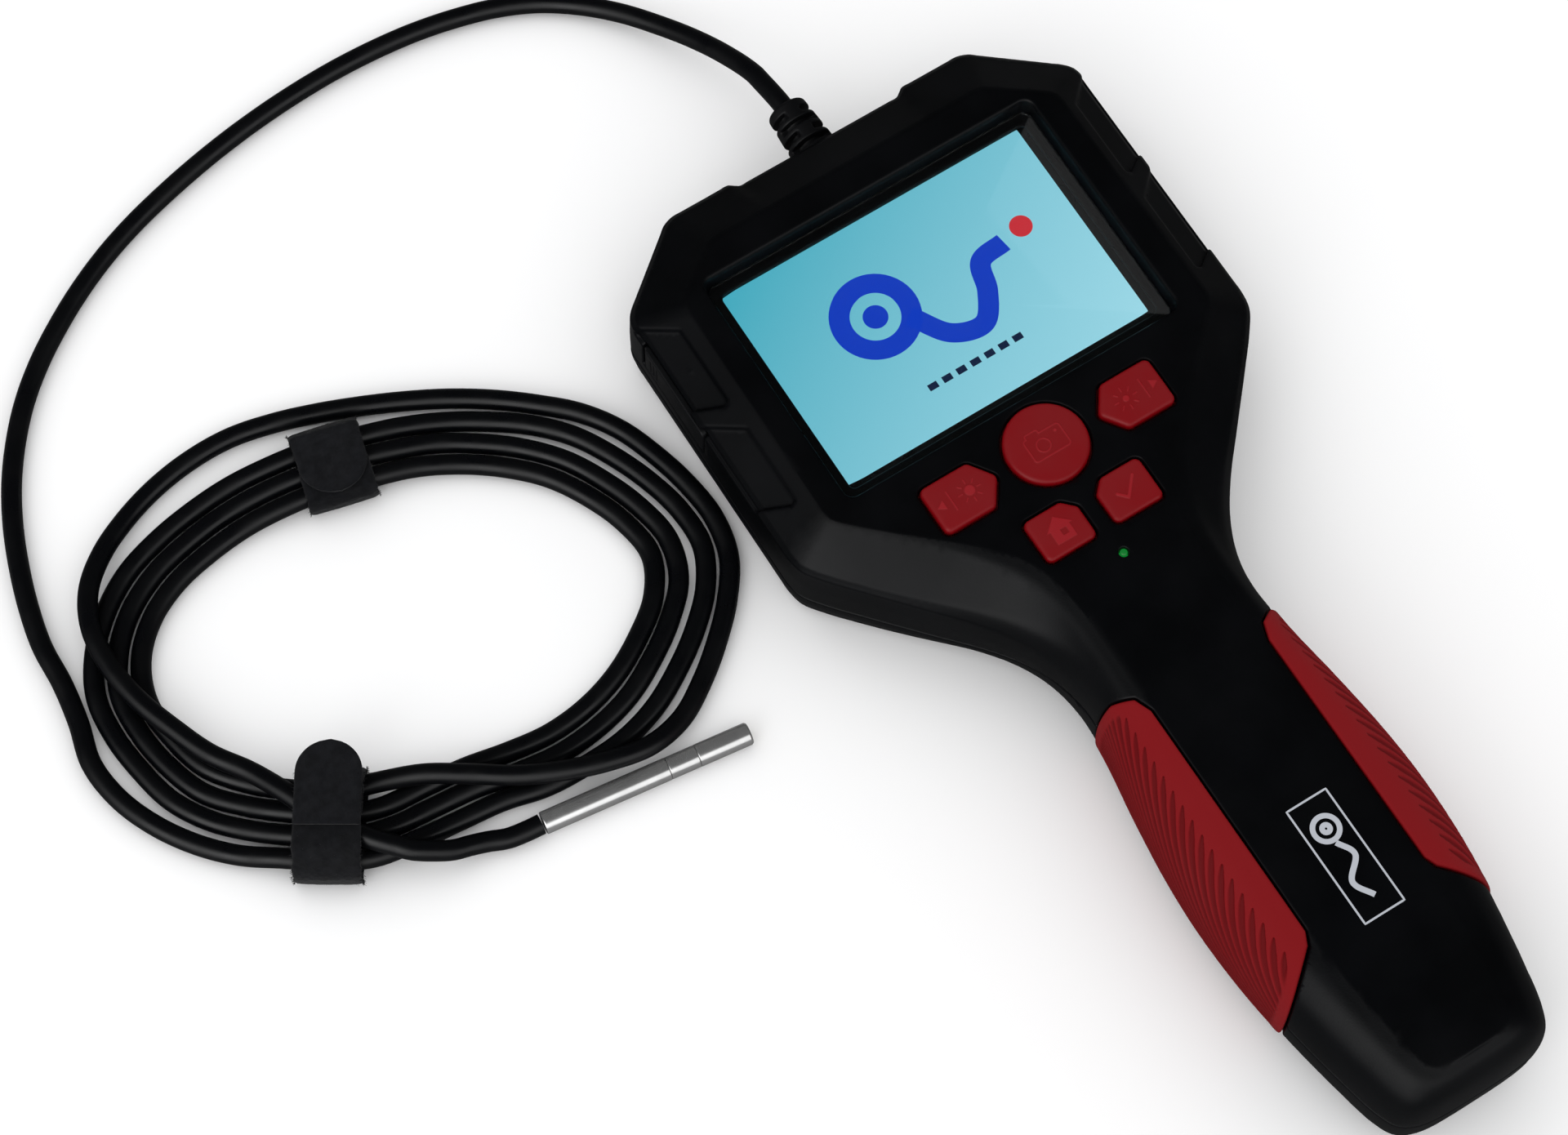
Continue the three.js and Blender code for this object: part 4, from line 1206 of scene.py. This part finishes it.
def build_probe(m):
    """Steel sleeve, ring and tip, with the lens and its ring of six lights."""
    ahead = np.array([math.cos(PROBE_HEADING), math.sin(PROBE_HEADING), 0])
    start = PROBE_START + 0.4 * ahead
    r = PROBE_R
    sleeve = [(0, 0), (0, r - 0.08), (0.2, r), (27.95, r), (28.05, r - 0.06), (28.05, 0)]
    ring = [
        (28.15, 0), (28.15, r - 0.08), (28.25, r - 0.03),
        (34.55, r - 0.03), (34.65, r - 0.08), (34.65, 0),
    ]
    tip = [
        (34.75, 0), (34.75, r - 0.06), (34.85, r), (46.2, r),
        (46.6, r - 0.3), (46.6, 2.0), (45.6, 2.0), (45.6, 0),
    ]
    for name, profile, node in (
        ("camera_sleeve", sleeve, "probe_sleeve"),
        ("camera_ring", ring, "probe_ring"),
        ("camera_tip", tip, "probe_tip"),
    ):
        obj = lathe(name, rounded_profile(profile, 0.12), m["steel"], start, PROBE_HEADING, 64)
        place(obj, "camera_head", "steel", node)
    dome = [(45.8, 0), (45.8, 0.8), (46.15, 0.8)]
    dome += [(46.15 + 0.25 * math.sin(t), 0.8 * math.cos(t)) for t in np.linspace(0.15, math.pi / 2, 8)]
    lens = lathe("camera_lens", dome, m["lens"], start, PROBE_HEADING, 32)
    place(lens, "camera_head", "lens_glass", "probe_lens")
    ring = [(45.8, 1.0), (46.2, 1.0), (46.3, 1.1), (46.3, 1.7), (46.2, 1.8), (45.8, 1.8), (45.8, 1.0)]
    light = lathe("camera_light_ring", ring, m["led"], start, PROBE_HEADING, 40)
    place(light, "camera_head", "led_plastic", "probe_light_ring")
    aside = np.array([-ahead[1], ahead[0], 0])
    for k in range(6):
        turn = math.pi / 3 * k + 0.3
        centre = start + LED_CIRCLE_R * (math.cos(turn) * aside + math.sin(turn) * UP)
        led = [(46.1, 0), (46.1, 0.28), (46.34, 0.28), (46.44, 0.18), (46.48, 0)]
        dot = lathe("camera_led_%d" % (k + 1), led, m["led_chip"], centre, PROBE_HEADING, 12)
        place(dot, "camera_head", "led_plastic")


# ---------------------------------------------------------------- small parts

def build_port_cover(m):
    """Soft flap with finger ridges and a nail notch."""
    block = Block((-58, 1.6, 11.6), (-54.4, 27.6, 22.2), FINE_GRID * COARSE)
    X, Y, Z = block.X, block.Y, block.Z
    plan = sd_box(Y - 14.5, Z - 16.85, 12, 4.35, 1.1)
    body = smax(plan + 0 * X, np.abs(X + 56.15) - 0.75, 0.45)
    ridge = 0.25 * np.clip(1 - np.abs(np.mod(Y - 20.2, 1.2) - 0.6) / 0.35, 0, 1)
    finger = (Y > 20.2) & (Y < 23.8) & (np.abs(Z - 16.85) < 2.8)
    body = body + np.where(finger, ridge, 0)
    nail = np.maximum(25.5 - Y, X + 56.35) + 0 * Z
    body = smax(body, -nail, 0.25)
    obj = field_piece("port_flap", body, block, m["relief"])
    place(obj, "cover", "black_rubber", "port_cover")


def build_screws(m):
    """Pan-head screws with a cross recess and a rolled thread."""
    block = Block((-3.2, -3.2, 0.2), (3.2, 3.2, 19.4), 0.14 * COARSE)
    X, Y, Z = block.X, block.Y, block.Z
    r = np.hypot(X, Y)
    head = smax(r - 2.8 + 0 * Z, np.abs(Z - 1.45) - 0.85, 0.5)
    turn = np.arctan2(Y, X) / (2 * math.pi)
    thread = np.abs(np.mod(Z / 0.8 - turn, 1.0) - 0.5) * 0.44
    taper = np.clip((Z - 17.2) / 1.8, 0, 1) * 0.7
    shank = np.maximum(r - 1.28 + thread * 0.8 + taper, np.abs(Z - 10.5) - 8.5)
    cross = np.minimum(sd_box(X, Y, 1.75, 0.34, 0.1), sd_box(X, Y, 0.34, 1.75, 0.1))
    recess = np.maximum(cross + 0.35 * (Z - 0.6), Z - 1.75)
    solid = smax(np.minimum(head, shank), -recess, 0.12)
    points, faces, normals = field_mesh(solid, block)
    for i, (x, y) in enumerate(SCREWS):
        spin = rng.uniform(0, math.pi)
        c, s = math.cos(spin), math.sin(spin)
        turn = np.array([[c, -s, 0], [s, c, 0], [0, 0, 1]])
        moved = points @ turn.T + np.array([x, y, 0])
        obj = new_object("screw_%d" % (i + 1), moved, faces, m["dark_steel"], normals @ turn.T)
        place(obj, "housing", "dark_steel", "rear_screw_%d" % (i + 1))


def build_ports(m):
    """USB socket with its tongue."""
    low, high = box_of("usb_connector")
    block = Block(low - 0.4, high + 0.4, 0.11 * COARSE)
    cy, cz = (low[1] + high[1]) / 2, (low[2] + high[2]) / 2
    outer = sd_box(block.Y - cy, block.Z - cz, (high[1] - low[1]) / 2, (high[2] - low[2]) / 2, 1.5)
    length = np.abs(block.X - (low[0] + high[0]) / 2) - (high[0] - low[0]) / 2
    can = smax(outer + 0 * block.X, length, 0.12)
    mouth = np.maximum(outer + 0.32, block.X - high[0] + 2.2)
    tongue = sd_box(block.Y - cy, block.Z - cz, 2.9, 0.36, 0.15)
    tongue = np.maximum(tongue, low[0] + 0.7 - block.X)
    solid = np.minimum(smax(can, -mouth, 0.08), np.maximum(tongue, length))
    obj = field_piece("usb_socket", solid, block, m["steel_plain"])
    place(obj, "housing", "steel", "usb_connector")


def build_light_pipe(m):
    low, high = box_of("led_light_pipe")
    x, y = (low[0] + high[0]) / 2, (low[1] + high[1]) / 2
    profile = [(low[2], 0), (low[2], 0.8), (21.9, 0.8), (22.0, 1.8), (27.3, 1.8), (27.4, 0.8), (31.2, 0.8)]
    profile += [(31.2 + 0.4 * math.sin(t), 0.8 * math.cos(t)) for t in np.linspace(0.2, math.pi / 2, 7)]
    points = []
    sides = 24
    for z, r in profile:
        points.extend(circle(np.array([x, y, z]), max(r, 0.01), EAST, NORTH, sides))
    faces = tube_faces(len(profile), sides)
    obj = new_object("status_light", points, faces, m["light_pipe"])
    crease_by_angle(obj)
    place(obj, "housing", "light_pipe", "led_light_pipe")


# ---------------------------------------------------------------- materials

def srgb(r, g, b):
    """Linear colour from the 0-255 numbers a colour picker shows."""
    channels = (c / 255 for c in (r, g, b))
    return tuple(c / 12.92 if c <= 0.04045 else ((c + 0.055) / 1.055) ** 2.4 for c in channels) + (1.0,)


def map_range(tree, source, low, high, start, stop, kind="LINEAR"):
    """Output that goes from low to high as source goes from start to stop."""
    made = tree.nodes.new("ShaderNodeMapRange")
    made.interpolation_type = kind
    for key, value in zip(("From Min", "From Max", "To Min", "To Max"), (start, stop, low, high)):
        made.inputs[key].default_value = value
    tree.links.new(source, made.inputs["Value"])
    return made.outputs["Result"]


class Finish:
    """A node material built up from a few named moves."""

    def __init__(self, name, colour, roughness, **inputs):
        self.material = bpy.data.materials.new(name)
        self.material.use_nodes = True
        self.nodes = self.material.node_tree.nodes
        self.links = self.material.node_tree.links
        self.shader = self.nodes["Principled BSDF"]
        self.shader.inputs["Base Color"].default_value = colour
        self.shader.inputs["Roughness"].default_value = roughness
        for key, value in inputs.items():
            self.shader.inputs[key.replace("_", " ")].default_value = value
        self.place = self.node("ShaderNodeTexCoord").outputs["Object"]
        self.normal = None

    def node(self, kind, **settings):
        made = self.nodes.new(kind)
        for key, value in settings.items():
            setattr(made, key, value)
        return made

    def link(self, a, b):
        self.links.new(a, b)

    def noise(self, scale, detail):
        made = self.node("ShaderNodeTexNoise")
        made.inputs["Scale"].default_value = scale
        made.inputs["Detail"].default_value = detail
        self.link(self.place, made.inputs["Vector"])
        return made.outputs["Fac"]

    def cells(self, scale, feature="F1"):
        made = self.node("ShaderNodeTexVoronoi", feature=feature)
        made.inputs["Scale"].default_value = scale
        self.link(self.place, made.inputs["Vector"])
        return made.outputs["Distance"]

    def attribute(self, name):
        return self.node("ShaderNodeAttribute", attribute_name=name).outputs["Fac"]

    def span(self, source, low, high, start=0.0, stop=1.0):
        return map_range(self.material.node_tree, source, low, high, start, stop)

    def blend(self, source, one, two):
        """Colour between two, chosen by source."""
        ramp = self.node("ShaderNodeValToRGB")
        ramp.color_ramp.elements[0].color = one
        ramp.color_ramp.elements[1].color = two
        self.link(source, ramp.inputs["Fac"])
        return ramp.outputs["Color"]

    def bump(self, source, height_mm, strength):
        made = self.node("ShaderNodeBump")
        made.inputs["Distance"].default_value = height_mm * MM
        made.inputs["Strength"].default_value = strength
        self.link(source, made.inputs["Height"])
        if self.normal is not None:
            self.link(self.normal, made.inputs["Normal"])
        self.normal = made.outputs["Normal"]
        self.link(self.normal, self.shader.inputs["Normal"])

    def rough(self, source, low, high):
        self.link(self.span(source, low, high, 0.35, 0.65), self.shader.inputs["Roughness"])

    def colour(self, source, one, two, start=0.35, stop=0.65):
        shade = self.blend(self.span(source, 0, 1, start, stop), one, two)
        self.link(shade, self.shader.inputs["Base Color"])


def moulded_plastic():
    f = Finish("moulded_black_plastic", srgb(4, 6, 9), 0.42, Specular_IOR_Level=0.17)
    f.colour(f.noise(60, 3), srgb(3, 4, 6), srgb(6, 7, 10))
    f.bump(f.cells(2600), 0.02, 0.4)
    f.bump(f.noise(900, 3), 0.01, 0.4)
    f.rough(f.noise(35, 4), 0.34, 0.44)
    return f.material


def key_plastic():
    f = Finish("red_key_plastic", srgb(122, 2, 10), 0.36, Specular_IOR_Level=0.22)
    f.colour(f.attribute("mark"), srgb(120, 1, 9), srgb(140, 14, 24), 0.2, 1.0)
    f.bump(f.noise(2200, 2), 0.015, 0.5)
    f.rough(f.noise(90, 3), 0.33, 0.45)
    return f.material


def grip_rubber():
    f = Finish("red_grip_rubber", srgb(122, 8, 15), 0.62, Specular_IOR_Level=0.13)
    # Painted shade: the grooves are coloured a darker red where shade falls in them.
    f.colour(f.attribute("groove"), srgb(122, 8, 15), srgb(98, 0, 5), 0.05, 0.8)
    f.bump(f.noise(1800, 3), 0.03, 0.6)
    f.rough(f.noise(50, 3), 0.56, 0.7)
    return f.material


def cable_jacket():
    f = Finish("cable_jacket", srgb(5, 6, 9), 0.3, Specular_IOR_Level=0.35)
    f.bump(f.noise(300, 3), 0.05, 0.5)
    f.bump(f.noise(2600, 2), 0.01, 0.5)
    f.rough(f.noise(140, 4), 0.26, 0.42)
    return f.material


def sleeve_rubber():
    f = Finish("sleeve_rubber", srgb(7, 8, 11), 0.46, Specular_IOR_Level=0.3)
    f.bump(f.noise(1600, 3), 0.02, 0.5)
    f.rough(f.noise(120, 3), 0.44, 0.58)
    return f.material


def brushed_steel():
    f = Finish("brushed_steel", (0.8, 0.8, 0.8, 1), 0.2, Metallic=0.88)
    bands = f.node("ShaderNodeTexNoise", noise_dimensions="1D")
    bands.inputs["Scale"].default_value = 9.0
    bands.inputs["Detail"].default_value = 8.0
    f.link(f.attribute("along"), bands.inputs["W"])
    f.rough(bands.outputs["Fac"], 0.18, 0.22)
    f.bump(bands.outputs["Fac"], 0.0006, 0.3)
    f.colour(f.noise(200, 3), (0.74, 0.74, 0.74, 1), (0.84, 0.84, 0.84, 1))
    return f.material


def plain_metal(name, tone, low, high):
    f = Finish(name, tone, low, Metallic=1.0)
    f.rough(f.noise(600, 4), low, high)
    f.bump(f.noise(1500, 3), 0.01, 0.5)
    return f.material


def woven(name, tone, light, scale, relief, sheen):
    """Hook-and-loop fabric: crossed threads under an uneven pile."""
    f = Finish(name, tone, 0.9, Specular_IOR_Level=0.2, Sheen_Weight=sheen, Sheen_Roughness=0.5)
    f.colour(f.noise(500, 5), tone, light)
    f.bump(f.cells(scale), relief, 0.9)
    f.bump(f.noise(3200, 4), 0.08, 0.9)
    f.rough(f.noise(400, 3), 0.8, 0.98)
    return f.material


def clear_window():
    f = Finish("window_glass", (0.97, 0.99, 1.0, 1), 0.03, IOR=1.45, Transmission_Weight=1.0)
    f.rough(f.noise(60, 3), 0.015, 0.05)
    return f.material


def lit_screen():
    f = Finish("screen_light", srgb(10, 14, 16), 0.3)
    shade = f.blend(f.attribute("fade"), srgb(70, 174, 194), srgb(158, 219, 233))
    f.link(shade, f.shader.inputs["Emission Color"])
    dots = f.span(f.cells(9000), 0.97, 1.03, 0.0, 0.8)
    f.link(dots, f.shader.inputs["Emission Strength"])
    return f.material


def glowing(name, tone, strength):
    f = Finish(name, srgb(8, 8, 10), 0.4)
    f.shader.inputs["Emission Color"].default_value = tone
    f.link(f.span(f.noise(4000, 2), strength * 0.94, strength * 1.06), f.shader.inputs["Emission Strength"])
    return f.material


def plain(name, tone, low, high, grain=1500, relief=0.02, **inputs):
    f = Finish(name, tone, low, **inputs)
    f.rough(f.noise(grain / 10, 3), low, high)
    f.bump(f.noise(grain, 3), relief, 0.5)
    return f.material


def board_laminate():
    f = Finish("board_laminate", srgb(18, 84, 48), 0.4)
    f.colour(f.cells(420, "DISTANCE_TO_EDGE"), srgb(30, 112, 66), srgb(14, 70, 40), 0.02, 0.06)
    f.bump(f.noise(900, 2), 0.02, 0.5)
    return f.material


def make_materials():
    return {
        "plastic": moulded_plastic(),
        "key": key_plastic(),
        "grip": grip_rubber(),
        "cable": cable_jacket(),
        "relief": sleeve_rubber(),
        "steel": brushed_steel(),
        "steel_plain": plain_metal("plain_steel", (0.6, 0.6, 0.6, 1), 0.25, 0.4),
        "dark_steel": plain_metal("dark_steel", (0.12, 0.12, 0.13, 1), 0.3, 0.45),
        "fabric": woven("hook_loop_band", srgb(6, 7, 10), srgb(13, 14, 18), 900, 0.12, 0.08),
        "fabric_face": woven("hook_loop_face", srgb(8, 9, 13), srgb(16, 17, 21), 1100, 0.16, 0.06),
        "fuzz": plain("loose_fibres", srgb(10, 11, 14), 0.7, 0.9, Sheen_Weight=0.1),
        "glass": clear_window(),
        "module": plain("module_black", srgb(7, 8, 10), 0.25, 0.4),
        "screen": lit_screen(),
        "screen_blue": glowing("screen_blue", srgb(18, 60, 190), 1.0),
        "screen_red": glowing("screen_red", srgb(200, 30, 44), 1.0),
        "screen_ink": glowing("screen_ink", srgb(16, 30, 60), 1.0),
        "ink": plain("white_print", srgb(178, 182, 190), 0.4, 0.55, 3000, 0.005),
        "lens": plain("lens_glass", srgb(10, 14, 26), 0.03, 0.06, 400, 0.001, Coat_Weight=1.0),
        "led": plain("led_diffuser", srgb(236, 234, 220), 0.3, 0.4),
        "led_chip": plain("led_chip", srgb(250, 240, 160), 0.2, 0.3),
        "light_pipe": glowing("status_green", srgb(20, 160, 60), 0.5),
        "board": board_laminate(),
        "light_plastic": plain("light_plastic", srgb(214, 214, 206), 0.4, 0.55),
        "battery": plain("battery_sleeve", srgb(40, 92, 168), 0.3, 0.42, 800, 0.03, Coat_Weight=0.3),
        "dark_part": plain("dark_part", srgb(24, 24, 26), 0.45, 0.6),
    }


CARRIED_OVER = {
    # part of a CAD node's name: the material of every node that has it
    "switch": "dark_part",
    "plunger": "light_plastic",
    "display_frame": "light_plastic",
    "main_board": "board",
    "card_socket": "steel_plain",
    "memory_card": "dark_part",
    "status_led": "light_plastic",
    "battery_cell": "battery",
    "battery_contact": "steel_plain",
    "cable_plug": "light_plastic",
}


def finish_carried_over(m):
    """Rounded edges and a finish on every CAD part that is still shown."""
    for name, obj in NODES.items():
        if obj.hide_render:
            continue
        key = next((k for k in CARRIED_OVER if k in name), None)
        if key is None:
            raise ValueError("no finish for " + name)
        obj.data.materials.clear()
        obj.data.materials.append(m[CARRIED_OVER[key]])
        soften = obj.modifiers.new("edges", "BEVEL")
        soften.width = 0.12 * MM
        soften.segments = 2
        soften.limit_method = "ANGLE"
        soften.angle_limit = math.radians(35)


# ---------------------------------------------------------------- stage

def area_light(name, at, target, size, power, mirrored=True):
    data = bpy.data.lights.new(name, "AREA")
    data.shape = "RECTANGLE"
    data.size, data.size_y = size
    data.energy = power
    obj = bpy.data.objects.new(name, data)
    obj.location = at
    obj.rotation_euler = (Vector(target) - Vector(at)).to_track_quat("-Z", "Y").to_euler()
    obj.visible_glossy = mirrored
    bpy.context.scene.collection.objects.link(obj)


def pale_floor():
    """White to the camera; mirrored in the glossy pieces it is only a dim grey."""
    f = Finish("pale_floor", srgb(252, 252, 253), 0.7, Specular_IOR_Level=0.2)
    pale = f.blend(f.noise(3, 2), srgb(251, 251, 252), srgb(254, 254, 254))
    mirrored = f.node("ShaderNodeLightPath").outputs["Is Glossy Ray"]
    shade = f.node("ShaderNodeMixRGB")
    f.link(mirrored, shade.inputs["Fac"])
    f.link(pale, shade.inputs["Color1"])
    shade.inputs["Color2"].default_value = (FLOOR_MIRRORED, FLOOR_MIRRORED, FLOOR_MIRRORED, 1)
    f.link(shade.outputs["Color"], f.shader.inputs["Base Color"])
    return f


def make_stage():
    f = pale_floor()
    points = [(-4000, -4000, -0.02), (4000, -4000, -0.02), (4000, 4000, -0.02), (-4000, 4000, -0.02)]
    floor = new_object("floor", points, [(0, 1, 2, 3)], f.material)
    make_world()
    centre = (-0.06, -0.06, 0.0)
    area_light("key_light", (-0.35, 0.75, 1.2), centre, (0.9, 0.9), 1.2, mirrored=False)
    area_light("side_light", (-1.1, -0.5, 0.8), centre, (0.7, 0.7), 2.0)
    bpy.context.scene.view_settings.view_transform = "Standard"


SOFTBOXES = (
    # direction, cosines at which the soft edge starts and ends, brightness
    ((-0.73, -0.46, 0.50), 0.62, 0.97, 1.5),
    ((0.17, -0.86, 0.48), 0.84, 0.96, 1.1),
)
ROOM_FILL = 1.0
FLOOR_MIRRORED = 0.12
ROOM_MIRRORED = 0.02
HORIZON_MIRRORED = 0.04


def make_world():
    """Even white light on the scene, mirrored as a dark room with two softboxes."""
    world = bpy.data.worlds.new("studio")
    world.use_nodes = True
    tree = world.node_tree
    nodes, links = tree.nodes, tree.links

    def ramp(source, start, stop, low, high):
        return map_range(tree, source, low, high, start, stop, "SMOOTHSTEP")

    def add(one, two):
        made = nodes.new("ShaderNodeMath")
        links.new(one, made.inputs[0])
        links.new(two, made.inputs[1])
        return made.outputs["Value"]

    place = nodes.new("ShaderNodeTexCoord").outputs["Generated"]
    split = nodes.new("ShaderNodeSeparateXYZ")
    links.new(place, split.inputs["Vector"])
    room = ramp(split.outputs["Z"], 0.0, 0.8, HORIZON_MIRRORED, ROOM_MIRRORED)
    for direction, start, stop, brightness in SOFTBOXES:
        facing = nodes.new("ShaderNodeVectorMath")
        facing.operation = "DOT_PRODUCT"
        facing.inputs[1].default_value = Vector(direction).normalized()
        links.new(place, facing.inputs[0])
        room = add(room, ramp(facing.outputs["Value"], start, stop, 0.0, brightness))
    choose = nodes.new("ShaderNodeMix")
    choose.inputs["A"].default_value = ROOM_FILL
    links.new(nodes.new("ShaderNodeLightPath").outputs["Is Glossy Ray"], choose.inputs["Factor"])
    links.new(room, choose.inputs["B"])
    links.new(choose.outputs["Result"], nodes["Background"].inputs["Strength"])
    nodes["Background"].inputs["Color"].default_value = (1, 1, 1, 1)
    world.cycles.sampling_method = "NONE"
    bpy.context.scene.world = world


CAMERA_AZIMUTH = math.radians(31.37)
CAMERA_ELEVATION = math.radians(68.46)
CAMERA_ROLL = math.radians(-0.67)
CAMERA_AT = (-0.2233, -0.2869, 0.8152)
LENS = 95.06
SHIFT_X = 0.0252
SHIFT_Y = -0.0262


def make_camera():
    data = bpy.data.cameras.new("camera")
    data.sensor_width = 36
    data.lens = LENS
    data.shift_x = SHIFT_X
    data.shift_y = SHIFT_Y
    data.clip_start = 0.01
    camera = bpy.data.objects.new("camera", data)
    look = Vector((
        math.sin(CAMERA_AZIMUTH) * math.cos(CAMERA_ELEVATION),
        math.cos(CAMERA_AZIMUTH) * math.cos(CAMERA_ELEVATION),
        -math.sin(CAMERA_ELEVATION),
    ))
    camera.location = CAMERA_AT
    roll = Quaternion((0, 0, 1), CAMERA_ROLL)
    camera.rotation_euler = (look.to_track_quat("-Z", "Y") @ roll).to_euler()
    bpy.context.scene.collection.objects.link(camera)
    bpy.context.scene.camera = camera


def main():
    m = make_materials()
    block, skin = shell_blocks()
    build_shells(block, skin, m["plastic"])
    build_grips(block, skin, m["grip"])
    build_keys(m["key"])
    build_display(m)
    build_handle_print(m["ink"])
    build_light_pipe(m)
    build_strain_relief(m)
    build_cable(m)
    for name in TIES:
        build_tie(name, m)
    build_probe(m)
    build_port_cover(m)
    build_ports(m)
    build_screws(m)
    finish_carried_over(m)
    make_stage()
    make_camera()


main()
